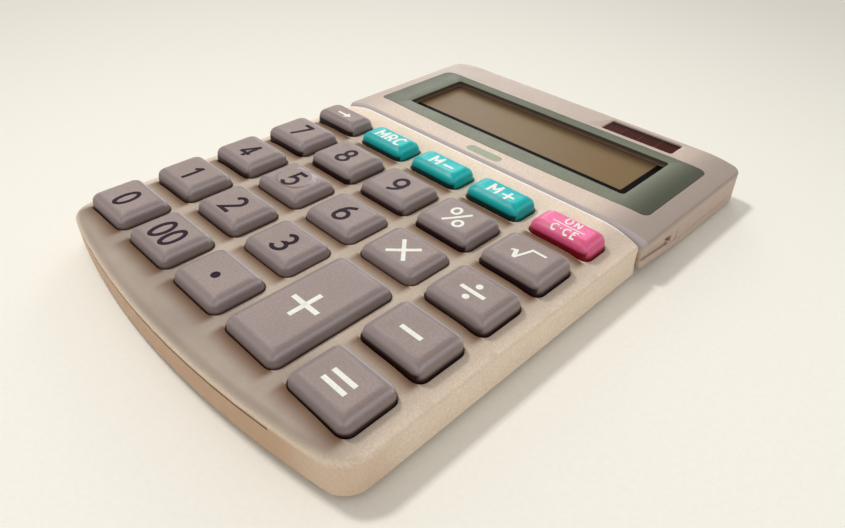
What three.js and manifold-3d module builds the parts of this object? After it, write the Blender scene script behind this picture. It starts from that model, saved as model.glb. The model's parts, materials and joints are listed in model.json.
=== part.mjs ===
// Desktop calculator with sprung keys and a display head that tilts up about a friction hinge.
// Millimetres. +X is to the user's right, +Y points away from the user and +Z is up.
// The origin is on the table, under the middle of the calculator's outline.

import * as THREE from 'three';
import { mergeVertices } from 'three/addons/utils/BufferGeometryUtils.js';
import Module from 'manifold-3d';

const wasm = await Module();
wasm.setup();

// Whole object
const overallLength = 138.8;
const bodyWidth = 100;
const headOverhang = 0.8;
const faceHeight = 10.7;
const sideDraftShare = 0.03;

// Clearances between separate pieces
const runGap = 0.3;
const seatGap = 0.2;
const pinGap = 0.15;
const seamGap = 0.6;
const cutOverrun = 1;
const cornerLimitShare = 0.45;

// Key field
const keySideMargin = 4.25;
const keyFrontMargin = 8.9;
const keyBackMargin = 7.77;
const keyGapX = 3.5;
const keyGapY = 4.15;
const topRowShift = 0.6;
const topKeyDepthShare = 2 / 3;
const keyTravel = 1.2;

// Key cap: heights are above the keypad face, insets are from the skirt's foot
const keyCornerRadius = 1.9;
const skirtInset = 0.3;
const skirtHeight = 1.5;
const rimInset = 1.05;
const rimHeight = 2.35;
const topInsetShare = 0.25;
const topHeight = 2.9;
const topDish = 0.2;
const keyFlangeReach = 0.9;
const keyFlangeThickness = 1;
const keyWall = 1;
const keyRoof = 1.2;
const keyStemRadius = 1.9;
const keyAperture = 0.45;
const keyRise = 0.4;

// Keypad body
const bodyStand = 1.4;
const bodyTopWall = 2.2;
const bodySideWall = 2;
const frontBowRadius = 233;
const frontCornerRadius = 5.5;
const frontEdgeRadius = 2.6;
const seamEdgeRadius = 1;
const seamCornerRadius = 1.8;
const bodyCamberReach = 11;
const bodyCamberRadius = 31;
const creaseDrop = 0.25;
const grooveEndMargin = 15;
const grooveDepth = 0.5;
const grooveDrop = 3;
const grooveFlankShare = 0.75;
const grooveEndShare = 0.03;
const grooveStationShares = [1, 0.9, 0.7, 0.4, 0];

// Base cover, rubber keypad and circuit board
const baseThickness = 1.6;
const baseBackMargin = 0.4;
const boardThickness = 1;
const rubberThickness = 0.7;
const boardMarginX = 8.4;
const boardFrontMargin = 7.5;
const boardBackMargin = 4.1;
const boardNotchWidth = 5.2;
const boardNotchDepth = 7;
const domeClosedHeight = 0.3;
const domeFootRadius = 3.5;
const domeTopRadius = 2.2;
const domeWall = 0.6;

// Screws and their bosses
const bossRadius = 2.1;
const screwShankRadius = 0.75;
const screwHoleRadius = 1.05;
const screwHeadRadius = 1.7;
const screwHeadThickness = 0.8;
const screwLength = 4;
const frontScrewX = 14;
const frontScrewInset = 5;
const backScrewColumns = 1.5;
const screwBoardGap = 0.4;

// Rubber feet
const bodyFootRadius = 4;
const headFootRadius = 3.6;
const footSink = 0.5;
const footSideMargin = 13;
const frontFootInset = 11.4;
const middleFootInset = 8;
const backFootInset = 8.3;

// Hinge, with its axis across the calculator
const pivotFromBack = 36.8;
const pivotDepth = 5.4;
const barrelRadius = 12.3;
const tiltLimitDegrees = 12;
const armSideMargin = 6.4;
const armThickness = 2.6;
const armEndRadius = 2.4;
const armHeight = 2.4;
const armTopDrop = 0.8;
const armNeck = 8;
const armRoot = 22;
const pinRadius = 1;
const pinHeadRadius = 1.7;
const pinHeadThickness = 0.8;
const washerThickness = 0.6;
const washerRadius = 2;
const hingeRibThickness = 1.8;
const hingeRibRadius = 2.1;
const pinEndCover = 0.7;

// Display head
const headStand = 0.7;
const rampRise = 2.1;
const rampBehindPivot = 8;
const headTopWall = 2;
const headSideWall = 2;
const headFrontWall = 1.6;
const headBackWall = 1.5;
const headFloor = 1.4;
const headCamberReach = 10.8;
const headCamberRadius = 22.9;
const headBackCornerRadius = 5;
const headBackEdgeRadius = 1.4;
const headSeamCornerRadius = 1.5;
const innerEdgeRadius = 0.3;
const partingHeight = 2.1;
const headScrewArmGap = 9.6;
const headScrewFrontInset = 6;
const headScrewSideMargin = 6.4;
const headScrewBackInset = 7;

// Relief, notch and slit in the head's side walls, placed from the hinge axis
const reliefDepth = 0.35;
const reliefFrontRise = 1.9;
const reliefMiddleY = 6;
const reliefMiddleRise = 1.1;
const notchDepth = 1.4;
const notchFrontY = 2.8;
const notchBackY = 1.1;
const notchFrontRise = 0.9;
const notchBackRise = 0.6;
const notchFootDrop = 1.3;
const slitRadius = 3.9;
const slitWidth = 0.4;
const slitStartDegrees = -42;
const slitEndDegrees = 4;

// Display bezel, window and liquid crystal panel
const bezelThickness = 0.8;
const bezelSideMargin = 5;
const bezelFrontMargin = 7.7;
const bezelBackMargin = 10.3;
const bezelBow = 1.3;
const bezelCornerRadius = 1.8;
const windowSideMargin = 8.7;
const windowFrontMargin = 5.4;
const windowBackMargin = 3.3;
const windowCornerRadius = 1;
const windowWall = 0.5;
const frameMarginX = 2;
const frameMarginY = 2.4;
const frameLipReach = 0.9;
const frameLip = 0.3;
const frameWall = 1;
const panelThickness = 1.6;
const displayBoardThickness = 0.9;
const chipRadius = 4.5;
const chipHeight = 1.1;
const chipX = 10;
const postRadius = 1.8;
const postInsetX = 3.6;
const postInsetY = 3;

// Solar cell and its window
const solarWidth = 21.9;
const solarLength = 6.6;
const solarSideMargin = 16;
const solarBackMargin = 2;
const solarCornerRadius = 1;
const solarCellMargin = 0.9;
const solarCellThickness = 1.1;

// Button cell, its well, contacts and door
const cellRadius = 5.8;
const cellHeight = 3.1;
const doorFootGap = 6.7;
const cellBackMargin = 9.1;
const cellTopDepth = 5.2;
const wellWall = 1;
const contactThickness = 0.2;
const contactWidth = 3;
const doorWidth = 22;
const doorLength = 14;
const doorThickness = 1;
const doorOffset = 3.7;
const doorCornerRadius = 1.5;
const doorPadRise = 0.7;
const doorPadMargin = 1.2;
const doorScrewOffset = 10.5;
const doorScrewHeadRadius = 1.5;
const doorScrewHeadThickness = 0.5;
const doorScrewShankRadius = 0.6;
const doorScrewHoleRadius = 0.9;
const doorBossRadius = 1.8;

// Ribbon cable through the hinge
const ribbonWidth = 12;
const ribbonThickness = 0.2;
const ribbonSlotHeight = 1.8;
const ribbonSlotReach = 6.4;

// Places worked out from the sizes above
const headWidth = bodyWidth + 2 * headOverhang;
const frontY = -overallLength / 2;
const backY = overallLength / 2;
const pivotY = backY - pivotFromBack;
const pivotZ = faceHeight - pivotDepth;
const barrelFrontY = pivotY - barrelRadius;
const rampEndY = pivotY + rampBehindPivot;
const concaveRadius = barrelRadius + seamGap;
const bodyCamberStart = bodyWidth / 2 - bodyCamberReach;
const headCamberStart = headWidth / 2 - headCamberReach;
const armInnerX = bodyWidth / 2 - armSideMargin;
const footX = bodyWidth / 2 - footSideMargin;
const bodyInnerBackY = pivotY - concaveRadius - bodySideWall;
const bodyRoofZ = faceHeight - bodyTopWall;
const basePlateTopZ = bodyStand + baseThickness;
const boardBottomZ = basePlateTopZ + runGap;
const boardTopZ = boardBottomZ + boardThickness;
const rubberBottomZ = boardTopZ + runGap;
const rubberTopZ = rubberBottomZ + rubberThickness;
const domeTopZ = rubberTopZ + keyTravel + domeClosedHeight;
const headFloorTopZ = headStand + headFloor;
const bezelWidth = headWidth - 2 * bezelSideMargin;
const bezelBackY = backY - bezelBackMargin;
const bezelFrontY = barrelFrontY + bezelFrontMargin;
const windowWidth = bezelWidth - 2 * windowSideMargin;
const windowLength = bezelBackY - windowBackMargin - bezelFrontY - windowFrontMargin;
const windowCentreY = bezelFrontY + windowFrontMargin + windowLength / 2;
const windowRoofZ = faceHeight - bezelThickness - seatGap - windowWall;
const frameTopZ = windowRoofZ - seatGap;
const panelTopZ = frameTopZ - frameLip - seatGap;
const frameBottomZ = panelTopZ - panelThickness - runGap;
const displayBoardTopZ = frameBottomZ - runGap;
const displayBoardBottomZ = displayBoardTopZ - displayBoardThickness;
const solarX = headWidth / 2 - solarSideMargin - solarWidth / 2;
const solarY = backY - solarBackMargin - solarLength / 2;
const solarCellTopZ = faceHeight - headTopWall - seatGap;
const cellY = backY - cellBackMargin;
const cellTopZ = faceHeight - cellTopDepth;
const doorX = -footX + headFootRadius + doorFootGap + doorWidth / 2;
const cellX = doorX + doorOffset;
const doorTopZ = headStand + doorThickness;
const doorScrewX = cellX - doorScrewOffset;
const cornerSteps = 3;
const innerCornerSteps = 2;
const cornerCutSteps = 2;
const roundSides = 12;
const smallSides = 8;
const screwSides = 6;
const wideSides = 16;

// Colours taken from the photograph, with the gloss of each surface
const finishes = {
  bodyPlastic: { color: 0xdccfba, roughness: 0.55, metalness: 0 },
  headPlastic: { color: 0xd3c1ac, roughness: 0.55, metalness: 0 },
  basePlastic: { color: 0xcdb9a3, roughness: 0.6, metalness: 0 },
  greyKey: { color: 0x9a8d8c, roughness: 0.4, metalness: 0 },
  tealKey: { color: 0x12b9b5, roughness: 0.35, metalness: 0 },
  pinkKey: { color: 0xee78a8, roughness: 0.35, metalness: 0 },
  bezelPaint: { color: 0x8d9a8c, roughness: 0.5, metalness: 0 },
  blackPlastic: { color: 0x161413, roughness: 0.5, metalness: 0 },
  displayGlass: { color: 0x8c7a5f, roughness: 0.15, metalness: 0 },
  solarGlass: { color: 0x5c2824, roughness: 0.15, metalness: 0 },
  boardLaminate: { color: 0x2f6b45, roughness: 0.5, metalness: 0 },
  softRubber: { color: 0x8f8f8a, roughness: 0.9, metalness: 0 },
  footRubber: { color: 0x2c2a29, roughness: 0.95, metalness: 0 },
  steel: { color: 0xb9bcc0, roughness: 0.35, metalness: 1 },
  brass: { color: 0xc9a85a, roughness: 0.35, metalness: 1 },
  ribbonFilm: { color: 0xc88a45, roughness: 0.5, metalness: 0 },
};

// Solids

function solidOf(geometry) {
  const bare = new THREE.BufferGeometry();
  bare.setAttribute('position', geometry.getAttribute('position').clone());
  if (geometry.index) bare.setIndex(geometry.index.clone());
  const merged = mergeVertices(bare);
  const vertProperties = new Float32Array(merged.getAttribute('position').array);
  const triVerts = new Uint32Array(merged.index.array);
  return new wasm.Manifold(new wasm.Mesh({ numProp: 3, vertProperties, triVerts }));
}

function geometryOf(solid) {
  const mesh = solid.getMesh();
  const geometry = new THREE.BufferGeometry();
  geometry.setAttribute('position', new THREE.BufferAttribute(mesh.vertProperties, mesh.numProp));
  geometry.setIndex(new THREE.BufferAttribute(mesh.triVerts, 1));
  geometry.computeVertexNormals();
  return geometry;
}

function cut(solid, cutters) {
  return cutters.reduce((left, cutter) => left.subtract(cutter), solid);
}

function join(solid, additions) {
  return additions.reduce((sum, addition) => sum.add(addition), solid);
}

// Prism of an outline drawn in the XY plane, standing between two heights.
function prismUp(points, bottomZ, topZ) {
  const geometry = new THREE.ExtrudeGeometry(new THREE.Shape(points), {
    depth: topZ - bottomZ,
    bevelEnabled: false,
  });
  geometry.translate(0, 0, bottomZ);
  return solidOf(geometry);
}

// Prism of an outline drawn in the YZ plane, running between two places across the calculator.
function prismAcross(points, leftX, rightX) {
  const geometry = new THREE.ExtrudeGeometry(new THREE.Shape(points), {
    depth: rightX - leftX,
    bevelEnabled: false,
  });
  geometry.applyMatrix4(new THREE.Matrix4().makeBasis(
    new THREE.Vector3(0, 1, 0),
    new THREE.Vector3(0, 0, 1),
    new THREE.Vector3(1, 0, 0),
  ));
  geometry.translate(leftX, 0, 0);
  return solidOf(geometry);
}

// Solid of revolution about an upright axis, from [radius, height] pairs that start and end on it.
function turnedUp(profile, x, y, sides = roundSides) {
  const points = profile.map(([radius, height]) => new THREE.Vector2(radius, height));
  const geometry = new THREE.LatheGeometry(points, sides);
  geometry.rotateX(Math.PI / 2);
  geometry.translate(x, y, 0);
  return outward(geometry);
}

// Solid of revolution about the hinge axis, from [radius, place across] pairs.
function turnedOnHinge(profile, sides = roundSides) {
  const points = profile.map(([radius, place]) => new THREE.Vector2(radius, place));
  const geometry = new THREE.LatheGeometry(points, sides);
  geometry.rotateZ(-Math.PI / 2);
  geometry.translate(0, pivotY, pivotZ);
  return outward(geometry);
}

function postUp(radius, x, y, bottomZ, topZ, sides = roundSides) {
  return turnedUp([[0, bottomZ], [radius, bottomZ], [radius, topZ], [0, topZ]], x, y, sides);
}

function signedVolume(geometry) {
  const position = geometry.getAttribute('position');
  const corners = [new THREE.Vector3(), new THREE.Vector3(), new THREE.Vector3()];
  let sum = 0;
  for (let i = 0; i < geometry.index.count; i += 3) {
    corners.forEach((corner, k) => corner.fromBufferAttribute(position, geometry.index.getX(i + k)));
    sum += corners[0].dot(corners[1].cross(corners[2]));
  }
  return sum / 6;
}

function outward(geometry) {
  if (signedVolume(geometry) < 0) {
    const index = geometry.index.array;
    for (let i = 0; i < index.length; i += 3) {
      [index[i], index[i + 1]] = [index[i + 1], index[i]];
    }
  }
  return solidOf(geometry);
}

// Closed solid through rings of matching points, which stand across X or lie level. The end rings
// are closed by flat faces, or the last one by a fan about a middle point where one is given.
function loft(rings, standing, lastMiddle = null) {
  const count = rings[0].length;
  const positions = rings.flat().flatMap((point) => [point.x, point.y, point.z]);
  const index = [];
  for (let ring = 0; ring + 1 < rings.length; ring += 1) {
    for (let i = 0; i < count; i += 1) {
      const a = ring * count + i;
      const b = ring * count + ((i + 1) % count);
      index.push(a, b, b + count, a, b + count, a + count);
    }
  }
  const flatten = (ring) => ring.map(({ x, y, z }) => (
    standing ? new THREE.Vector2(y, z) : new THREE.Vector2(x, y)
  ));
  const closeFlat = (ring, first, turned) => {
    THREE.ShapeUtils.triangulateShape(flatten(ring), []).forEach(([a, b, c]) => {
      const face = turned ? [c, b, a] : [a, b, c];
      index.push(...face.map((corner) => corner + first));
    });
  };
  const lastFirst = (rings.length - 1) * count;
  const side = THREE.ShapeUtils.isClockWise(flatten(rings[0])) ? -1 : 1;
  closeFlat(rings[0], 0, side === 1);
  if (lastMiddle) {
    positions.push(lastMiddle.x, lastMiddle.y, lastMiddle.z);
    for (let i = 0; i < count; i += 1) {
      index.push(lastFirst + i, lastFirst + ((i + 1) % count), rings.length * count);
    }
  } else {
    closeFlat(rings[rings.length - 1], lastFirst, side !== 1);
  }
  const geometry = new THREE.BufferGeometry();
  geometry.setAttribute('position', new THREE.Float32BufferAttribute(positions, 3));
  geometry.setIndex(index);
  return outward(geometry);
}

// Outlines

function arc(centreA, centreB, radius, startDegrees, endDegrees, steps) {
  return Array.from({ length: steps + 1 }, (_, step) => {
    const angle = THREE.MathUtils.degToRad(THREE.MathUtils.lerp(startDegrees, endDegrees, step / steps));
    return new THREE.Vector2(centreA + radius * Math.cos(angle), centreB + radius * Math.sin(angle));
  });
}

// Rectangle with round corners, whose radius leaves some of each side straight.
function roundedBox(centreX, centreY, width, length, wantedRadius, steps = cornerCutSteps) {
  const radius = Math.min(wantedRadius, width * cornerLimitShare, length * cornerLimitShare);
  const reachX = width / 2 - radius;
  const reachY = length / 2 - radius;
  return [
    ...arc(centreX + reachX, centreY + reachY, radius, 0, 90, steps),
    ...arc(centreX - reachX, centreY + reachY, radius, 90, 180, steps),
    ...arc(centreX - reachX, centreY - reachY, radius, 180, 270, steps),
    ...arc(centreX + reachX, centreY - reachY, radius, 270, 360, steps),
  ];
}

// How far a round plan corner draws an edge in at a place x across a piece of the given half width.
function cornerDraw(x, half, radius) {
  const past = Math.max(0, Math.abs(x) - (half - radius));
  return radius - Math.sqrt(Math.max(0, radius * radius - past * past));
}

function camber(x, start, radius) {
  const past = Math.max(0, Math.abs(x) - start);
  return radius - Math.sqrt(radius * radius - past * past);
}

function frontBow(x) {
  return frontBowRadius - Math.sqrt(frontBowRadius * frontBowRadius - x * x);
}

// Places across a piece where its cross section is drawn, close together at its round corners.
function stations(half, camberStart, cornerRadius, steps = cornerSteps) {
  const cornerStart = half - cornerRadius;
  const flat = Math.min(camberStart, cornerStart);
  const right = [0, flat / 3, (2 * flat) / 3, flat];
  if (cornerStart > flat) right.push((flat + cornerStart) / 2, cornerStart);
  for (let step = 1; step <= steps; step += 1) {
    right.push(cornerStart + cornerRadius * Math.sin(((Math.PI / 2) * step) / steps));
  }
  return [...right.slice(1).reverse().map((x) => -x), ...right];
}

function loftAcross(places, section, halfWidth) {
  return loft(places.map((x) => section(x).map(({ x: y, y: z }) => {
    const spread = 1 + (sideDraftShare * (faceHeight - z)) / halfWidth;
    return new THREE.Vector3(x * spread, y, z);
  })), true);
}

function barrelY(z, radius) {
  return pivotY - Math.sqrt(radius * radius - (z - pivotZ) ** 2);
}

function mirroredPair(make) {
  return [make(-1), make(1)];
}

// Keys

const keyRows = [
  ['key_0', 'key_00', 'key_point', null, 'key_equals'],
  ['key_1', 'key_2', 'key_3', null, 'key_minus'],
  ['key_4', 'key_5', 'key_6', 'key_multiply', 'key_divide'],
  ['key_7', 'key_8', 'key_9', 'key_percent', 'key_root'],
  ['key_shift', 'key_memory_recall', 'key_memory_minus', 'key_memory_plus', 'key_on_clear'],
];
const topRow = keyRows.length - 1;
const columns = keyRows[topRow].length;
const middleColumn = (columns - 1) / 2;
const plusColumn = 3;

// The five columns fill the width between the side margins. The rows fill the length from the
// front margin to the back one, which is kept from the seam at the back wall's upper edge.
const keyPitchX = (bodyWidth - 2 * keySideMargin + keyGapX) / columns;
const keyWidth = keyPitchX - keyGapX;
const firstRowY = frontY + keyFrontMargin;
const lastRowBackY = barrelY(faceHeight - seamEdgeRadius, concaveRadius) - keyBackMargin;
const rowsLength = lastRowBackY - firstRowY - topRowShift + topKeyDepthShare * keyGapY;
const keyPitchY = rowsLength / (topRow + topKeyDepthShare);
const keyDepth = keyPitchY - keyGapY;
const topKeyDepth = keyDepth * topKeyDepthShare;

function keyPlaces() {
  const places = [];
  keyRows.forEach((names, row) => names.forEach((name, column) => {
    if (!name) return;
    const length = row === topRow ? topKeyDepth : keyDepth;
    const front = firstRowY + row * keyPitchY + (row === topRow ? topRowShift : 0);
    places.push({ name, x: (column - middleColumn) * keyPitchX, y: front + length / 2, length });
  }));
  const plusLength = keyPitchY + keyDepth;
  places.push({
    name: 'key_plus',
    x: (plusColumn - middleColumn) * keyPitchX,
    y: firstRowY + plusLength / 2,
    length: plusLength,
  });
  return places;
}

// How much higher or lower than the rest each key stands, as a share of the largest rise.
const keyRiseShares = {
  key_0: 0,
  key_00: 0,
  key_point: -0.25,
  key_equals: -0.5,
  key_plus: -0.5,
  key_1: 0.5,
  key_2: 0.25,
  key_3: -1,
  key_minus: 0.25,
  key_4: 0.75,
  key_5: 0,
  key_6: -0.75,
  key_multiply: -1,
  key_divide: 0,
  key_7: 1,
  key_8: 1,
  key_9: 0.5,
  key_percent: 0.75,
  key_root: 0.75,
  key_shift: 1,
  key_memory_recall: 0.5,
  key_memory_minus: 0.75,
  key_memory_plus: 1,
  key_on_clear: 0.5,
};

function keyFinish(name) {
  if (name === 'key_on_clear') return finishes.pinkKey;
  return name.startsWith('key_memory') ? finishes.tealKey : finishes.greyKey;
}

function keyRing(place, inset, height, steps = cornerCutSteps, lengthInset = inset) {
  const radius = Math.max(keyCornerRadius - inset / 2, keyCornerRadius / 2);
  const length = place.length - 2 * lengthInset;
  return roundedBox(place.x, place.y, keyWidth - 2 * inset, length, radius, steps)
    .map((point) => new THREE.Vector3(point.x, point.y, faceHeight + height));
}

function keyCap(place) {
  const topInset = keyDepth * topInsetShare;
  const topLengthInset = Math.min(keyDepth, place.length) * topInsetShare;
  const rise = keyRise * keyRiseShares[place.name];
  const flangeTop = -bodyTopWall - runGap;
  const flangeBottom = flangeTop - keyFlangeThickness;
  const outside = loft([
    keyRing(place, -keyFlangeReach, flangeBottom),
    keyRing(place, -keyFlangeReach, flangeTop),
    keyRing(place, 0, flangeTop),
    keyRing(place, skirtInset, skirtHeight + rise),
    keyRing(place, rimInset, rimHeight + rise),
    keyRing(place, topInset, topHeight + rise, cornerCutSteps, topLengthInset),
  ], false, new THREE.Vector3(place.x, place.y, faceHeight + topHeight + rise - topDish));
  const hollow = loft([
    keyRing(place, keyWall, flangeBottom - cutOverrun, 1),
    keyRing(place, keyWall + rimInset, topHeight + rise - keyRoof, 1),
  ], false);
  const stemTop = faceHeight + topHeight + rise - keyRoof / 2;
  const stem = postUp(keyStemRadius, place.x, place.y, domeTopZ + runGap, stemTop, screwSides);
  return outside.subtract(hollow).add(stem);
}

// Keypad body

function bodySection(x) {
  const half = bodyWidth / 2;
  const atCrease = Math.abs(x) >= half ? creaseDrop : 0;
  const top = faceHeight - camber(x, bodyCamberStart, bodyCamberRadius) - atCrease;
  const front = frontY + frontBow(x) + cornerDraw(x, half, frontCornerRadius);
  const drawn = cornerDraw(x, half, seamCornerRadius);
  const wallTop = top - seamEdgeRadius;
  const backEdge = barrelY(wallTop, concaveRadius) - drawn;
  const wallSteps = 4;
  const wall = Array.from({ length: wallSteps }, (_, step) => {
    const z = THREE.MathUtils.lerp(wallTop, bodyStand, (step + 1) / wallSteps);
    return new THREE.Vector2(barrelY(z, concaveRadius) - drawn, z);
  });
  return [
    new THREE.Vector2(front, bodyStand),
    ...arc(front + frontEdgeRadius, top - frontEdgeRadius, frontEdgeRadius, 180, 90, 4),
    ...arc(backEdge - seamEdgeRadius, wallTop, seamEdgeRadius, 90, 0, 2),
    ...wall,
  ];
}

function bodyPlan(inset, back) {
  const half = bodyWidth / 2 - inset;
  const corner = frontCornerRadius - inset;
  const front = stations(half, bodyCamberStart, corner)
    .map((x) => new THREE.Vector2(x, frontY + inset + frontBow(x) + cornerDraw(x, half, corner)));
  return [...front, new THREE.Vector2(half, back), new THREE.Vector2(-half, back)];
}

function fingerGroove() {
  const grooveHalfLength = bodyWidth / 2 - grooveEndMargin;
  const places = grooveStationShares.map((share) => share * grooveHalfLength);
  const across = [...places.map((x) => -x), ...places.slice(0, -1).reverse()];
  const centreZ = faceHeight - grooveDrop;
  return loftAcross(across, (x) => {
    const fade = 1 - (Math.abs(x) / grooveHalfLength) ** 4;
    const depth = grooveDepth * Math.max(fade, grooveEndShare);
    const wall = frontY + frontBow(x);
    const mouth = (cutOverrun + depth) * grooveFlankShare;
    return [
      new THREE.Vector2(wall - cutOverrun, centreZ - mouth),
      new THREE.Vector2(wall + depth, centreZ),
      new THREE.Vector2(wall - cutOverrun, centreZ + mouth),
    ];
  }, bodyWidth / 2);
}

// The back pair of screws stands where the gap below the top row crosses a gap between columns.
const lastFullRowBackY = firstRowY + (topRow - 1) * keyPitchY + keyDepth;
const topRowFrontY = firstRowY + topRow * keyPitchY + topRowShift;
const backScrewY = (lastFullRowBackY + topRowFrontY) / 2;
const baseScrews = [
  ...mirroredPair((side) => ({ x: side * frontScrewX, y: frontY + frontScrewInset })),
  ...mirroredPair((side) => ({ x: side * backScrewColumns * keyPitchX, y: backScrewY })),
];

function armSlotInCover(side) {
  const inner = side * (armInnerX - runGap);
  const outer = side * (armInnerX + armThickness + runGap);
  const top = pivotZ - armTopDrop + runGap;
  const outline = [
    new THREE.Vector2(bodyInnerBackY - cutOverrun, bodyStand - cutOverrun),
    new THREE.Vector2(pivotY, bodyStand - cutOverrun),
    new THREE.Vector2(pivotY, top),
    new THREE.Vector2(bodyInnerBackY - cutOverrun, top),
  ];
  return prismAcross(outline, Math.min(inner, outer), Math.max(inner, outer));
}

function ribbonSlot(fromY, toY) {
  const bottom = ribbonFrontZ - ribbonSlotHeight / 2;
  const top = ribbonFrontZ + ribbonSlotHeight / 2;
  const outline = [
    new THREE.Vector2(fromY, bottom),
    new THREE.Vector2(toY, bottom),
    new THREE.Vector2(toY, top),
    new THREE.Vector2(fromY, top),
  ];
  return prismAcross(outline, -ribbonWidth / 2 - runGap, ribbonWidth / 2 + runGap);
}

const ribbonFrontZ = boardBottomZ + boardThickness / 2;
const ribbonBackZ = displayBoardBottomZ + displayBoardThickness / 2;

function keypadCover() {
  const outside = loftAcross(
    stations(bodyWidth / 2, bodyCamberStart, frontCornerRadius),
    bodySection,
    bodyWidth / 2,
  );
  const inside = prismUp(bodyPlan(bodySideWall, bodyInnerBackY), bodyStand - cutOverrun, bodyRoofZ);
  const bossTop = bodyRoofZ + bodyTopWall / 2;
  const bosses = baseScrews.map(({ x, y }) => postUp(bossRadius, x, y, boardBottomZ, bossTop, smallSides));
  const screwHoles = baseScrews.map(({ x, y }) => postUp(
    screwHoleRadius,
    x,
    y,
    boardBottomZ - cutOverrun,
    bodyStand + screwLength + runGap,
    smallSides,
  ));
  const apertures = keyPlaces().map((place) => prismUp(
    roundedBox(
      place.x,
      place.y,
      keyWidth + 2 * keyAperture,
      place.length + 2 * keyAperture,
      keyCornerRadius + keyAperture,
    ),
    bodyRoofZ - cutOverrun,
    faceHeight + cutOverrun,
  ));
  return cut(join(outside.subtract(inside), bosses), [
    ...screwHoles,
    ...apertures,
    fingerGroove(),
    ...mirroredPair(armSlotInCover),
    ribbonSlot(bodyInnerBackY - cutOverrun, pivotY),
  ]);
}

// Arm of the hinge in the YZ plane, from its root on the base cover to its round end on the axis.
function armOutline() {
  const top = pivotZ - armTopDrop;
  return [
    new THREE.Vector2(pivotY - armRoot, bodyStand),
    new THREE.Vector2(pivotY - concaveRadius - bodySideWall, bodyStand),
    new THREE.Vector2(pivotY - barrelRadius, top - armHeight),
    ...arc(pivotY, pivotZ, armEndRadius, -90, 90, 6),
    new THREE.Vector2(pivotY - armEndRadius, pivotZ + armEndRadius / 2),
    new THREE.Vector2(pivotY - armNeck, top),
    new THREE.Vector2(pivotY - armRoot, top),
  ];
}

function feetOfBase() {
  return [
    ...mirroredPair((side) => ({ x: side * footX, y: frontY + frontFootInset })),
    ...mirroredPair((side) => ({ x: side * footX, y: bodyInnerBackY - middleFootInset })),
  ];
}

function screwSeat({ x, y }, bottomZ, topZ) {
  const ledgeZ = bottomZ + screwHeadThickness + seatGap;
  return turnedUp([
    [0, bottomZ - cutOverrun],
    [screwHeadRadius + runGap, bottomZ - cutOverrun],
    [screwHeadRadius + runGap, ledgeZ],
    [screwHoleRadius, ledgeZ],
    [screwHoleRadius, topZ + cutOverrun],
    [0, topZ + cutOverrun],
  ], x, y, smallSides);
}

function baseCover() {
  const plan = bodyPlan(bodySideWall + runGap, bodyInnerBackY - baseBackMargin);
  const plate = prismUp(plan, bodyStand, basePlateTopZ);
  const arms = mirroredPair((side) => {
    const inner = side * armInnerX;
    const outer = side * (armInnerX + armThickness);
    return prismAcross(armOutline(), Math.min(inner, outer), Math.max(inner, outer));
  });
  const footPockets = feetOfBase().map(({ x, y }) => postUp(
    bodyFootRadius + runGap,
    x,
    y,
    bodyStand - cutOverrun,
    bodyStand + footSink + seatGap,
  ));
  const pinHoles = mirroredPair((side) => turnedOnHinge([
    [0, side * (armInnerX - cutOverrun)],
    [pinRadius + pinGap, side * (armInnerX - cutOverrun)],
    [pinRadius + pinGap, side * (armInnerX + armThickness + cutOverrun)],
    [0, side * (armInnerX + armThickness + cutOverrun)],
  ], smallSides));
  return cut(join(plate, arms), [
    ...footPockets,
    ...pinHoles,
    ...baseScrews.map((place) => screwSeat(place, bodyStand, basePlateTopZ)),
  ]);
}

// Plan of the circuit board and the rubber keypad, with corners cut away beside the hinge arms.
function boardPlan() {
  const half = bodyWidth / 2 - boardMarginX;
  const front = frontY + boardFrontMargin;
  const back = bodyInnerBackY - boardBackMargin;
  const frontCorner = frontBow(half);
  const notch = half - boardNotchWidth;
  return [
    new THREE.Vector2(-half, front + frontCorner),
    new THREE.Vector2(-keyPitchX, front),
    new THREE.Vector2(keyPitchX, front),
    new THREE.Vector2(half, front + frontCorner),
    new THREE.Vector2(half, back - boardNotchDepth),
    new THREE.Vector2(notch, back - boardNotchDepth),
    new THREE.Vector2(notch, back),
    new THREE.Vector2(-notch, back),
    new THREE.Vector2(-notch, back - boardNotchDepth),
    new THREE.Vector2(-half, back - boardNotchDepth),
  ];
}

function bossHoles(bottomZ, topZ) {
  return baseScrews.slice(2).map(({ x, y }) => postUp(
    bossRadius + screwBoardGap,
    x,
    y,
    bottomZ - cutOverrun,
    topZ + cutOverrun,
    smallSides,
  ));
}

function circuitBoard() {
  return cut(prismUp(boardPlan(), boardBottomZ, boardTopZ), bossHoles(boardBottomZ, boardTopZ));
}

function rubberKeypad() {
  const sheet = prismUp(boardPlan(), rubberBottomZ, rubberTopZ);
  const domes = keyPlaces().map(({ x, y }) => turnedUp([
    [0, rubberBottomZ + rubberThickness / 2],
    [domeFootRadius, rubberBottomZ + rubberThickness / 2],
    [domeFootRadius, rubberTopZ],
    [domeTopRadius, domeTopZ],
    [0, domeTopZ],
  ], x, y, screwSides));
  const hollows = keyPlaces().map(({ x, y }) => turnedUp([
    [0, rubberBottomZ - cutOverrun],
    [domeFootRadius - domeWall, rubberBottomZ - cutOverrun],
    [domeTopRadius - domeWall, domeTopZ - domeWall],
    [0, domeTopZ - domeWall],
  ], x, y, screwSides));
  return cut(join(sheet, domes), [...hollows, ...bossHoles(rubberBottomZ, rubberTopZ)]);
}

function screwAt({ x, y }, bottomZ) {
  const headTop = bottomZ + screwHeadThickness;
  return turnedUp([
    [0, bottomZ],
    [screwHeadRadius, bottomZ],
    [screwHeadRadius, headTop],
    [screwShankRadius, headTop],
    [screwShankRadius, bottomZ + screwLength],
    [0, bottomZ + screwLength],
  ], x, y, screwSides);
}

function footAt({ x, y }, radius, stand) {
  return postUp(radius, x, y, 0, stand + footSink, wideSides);
}

// Hinge hardware

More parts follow.
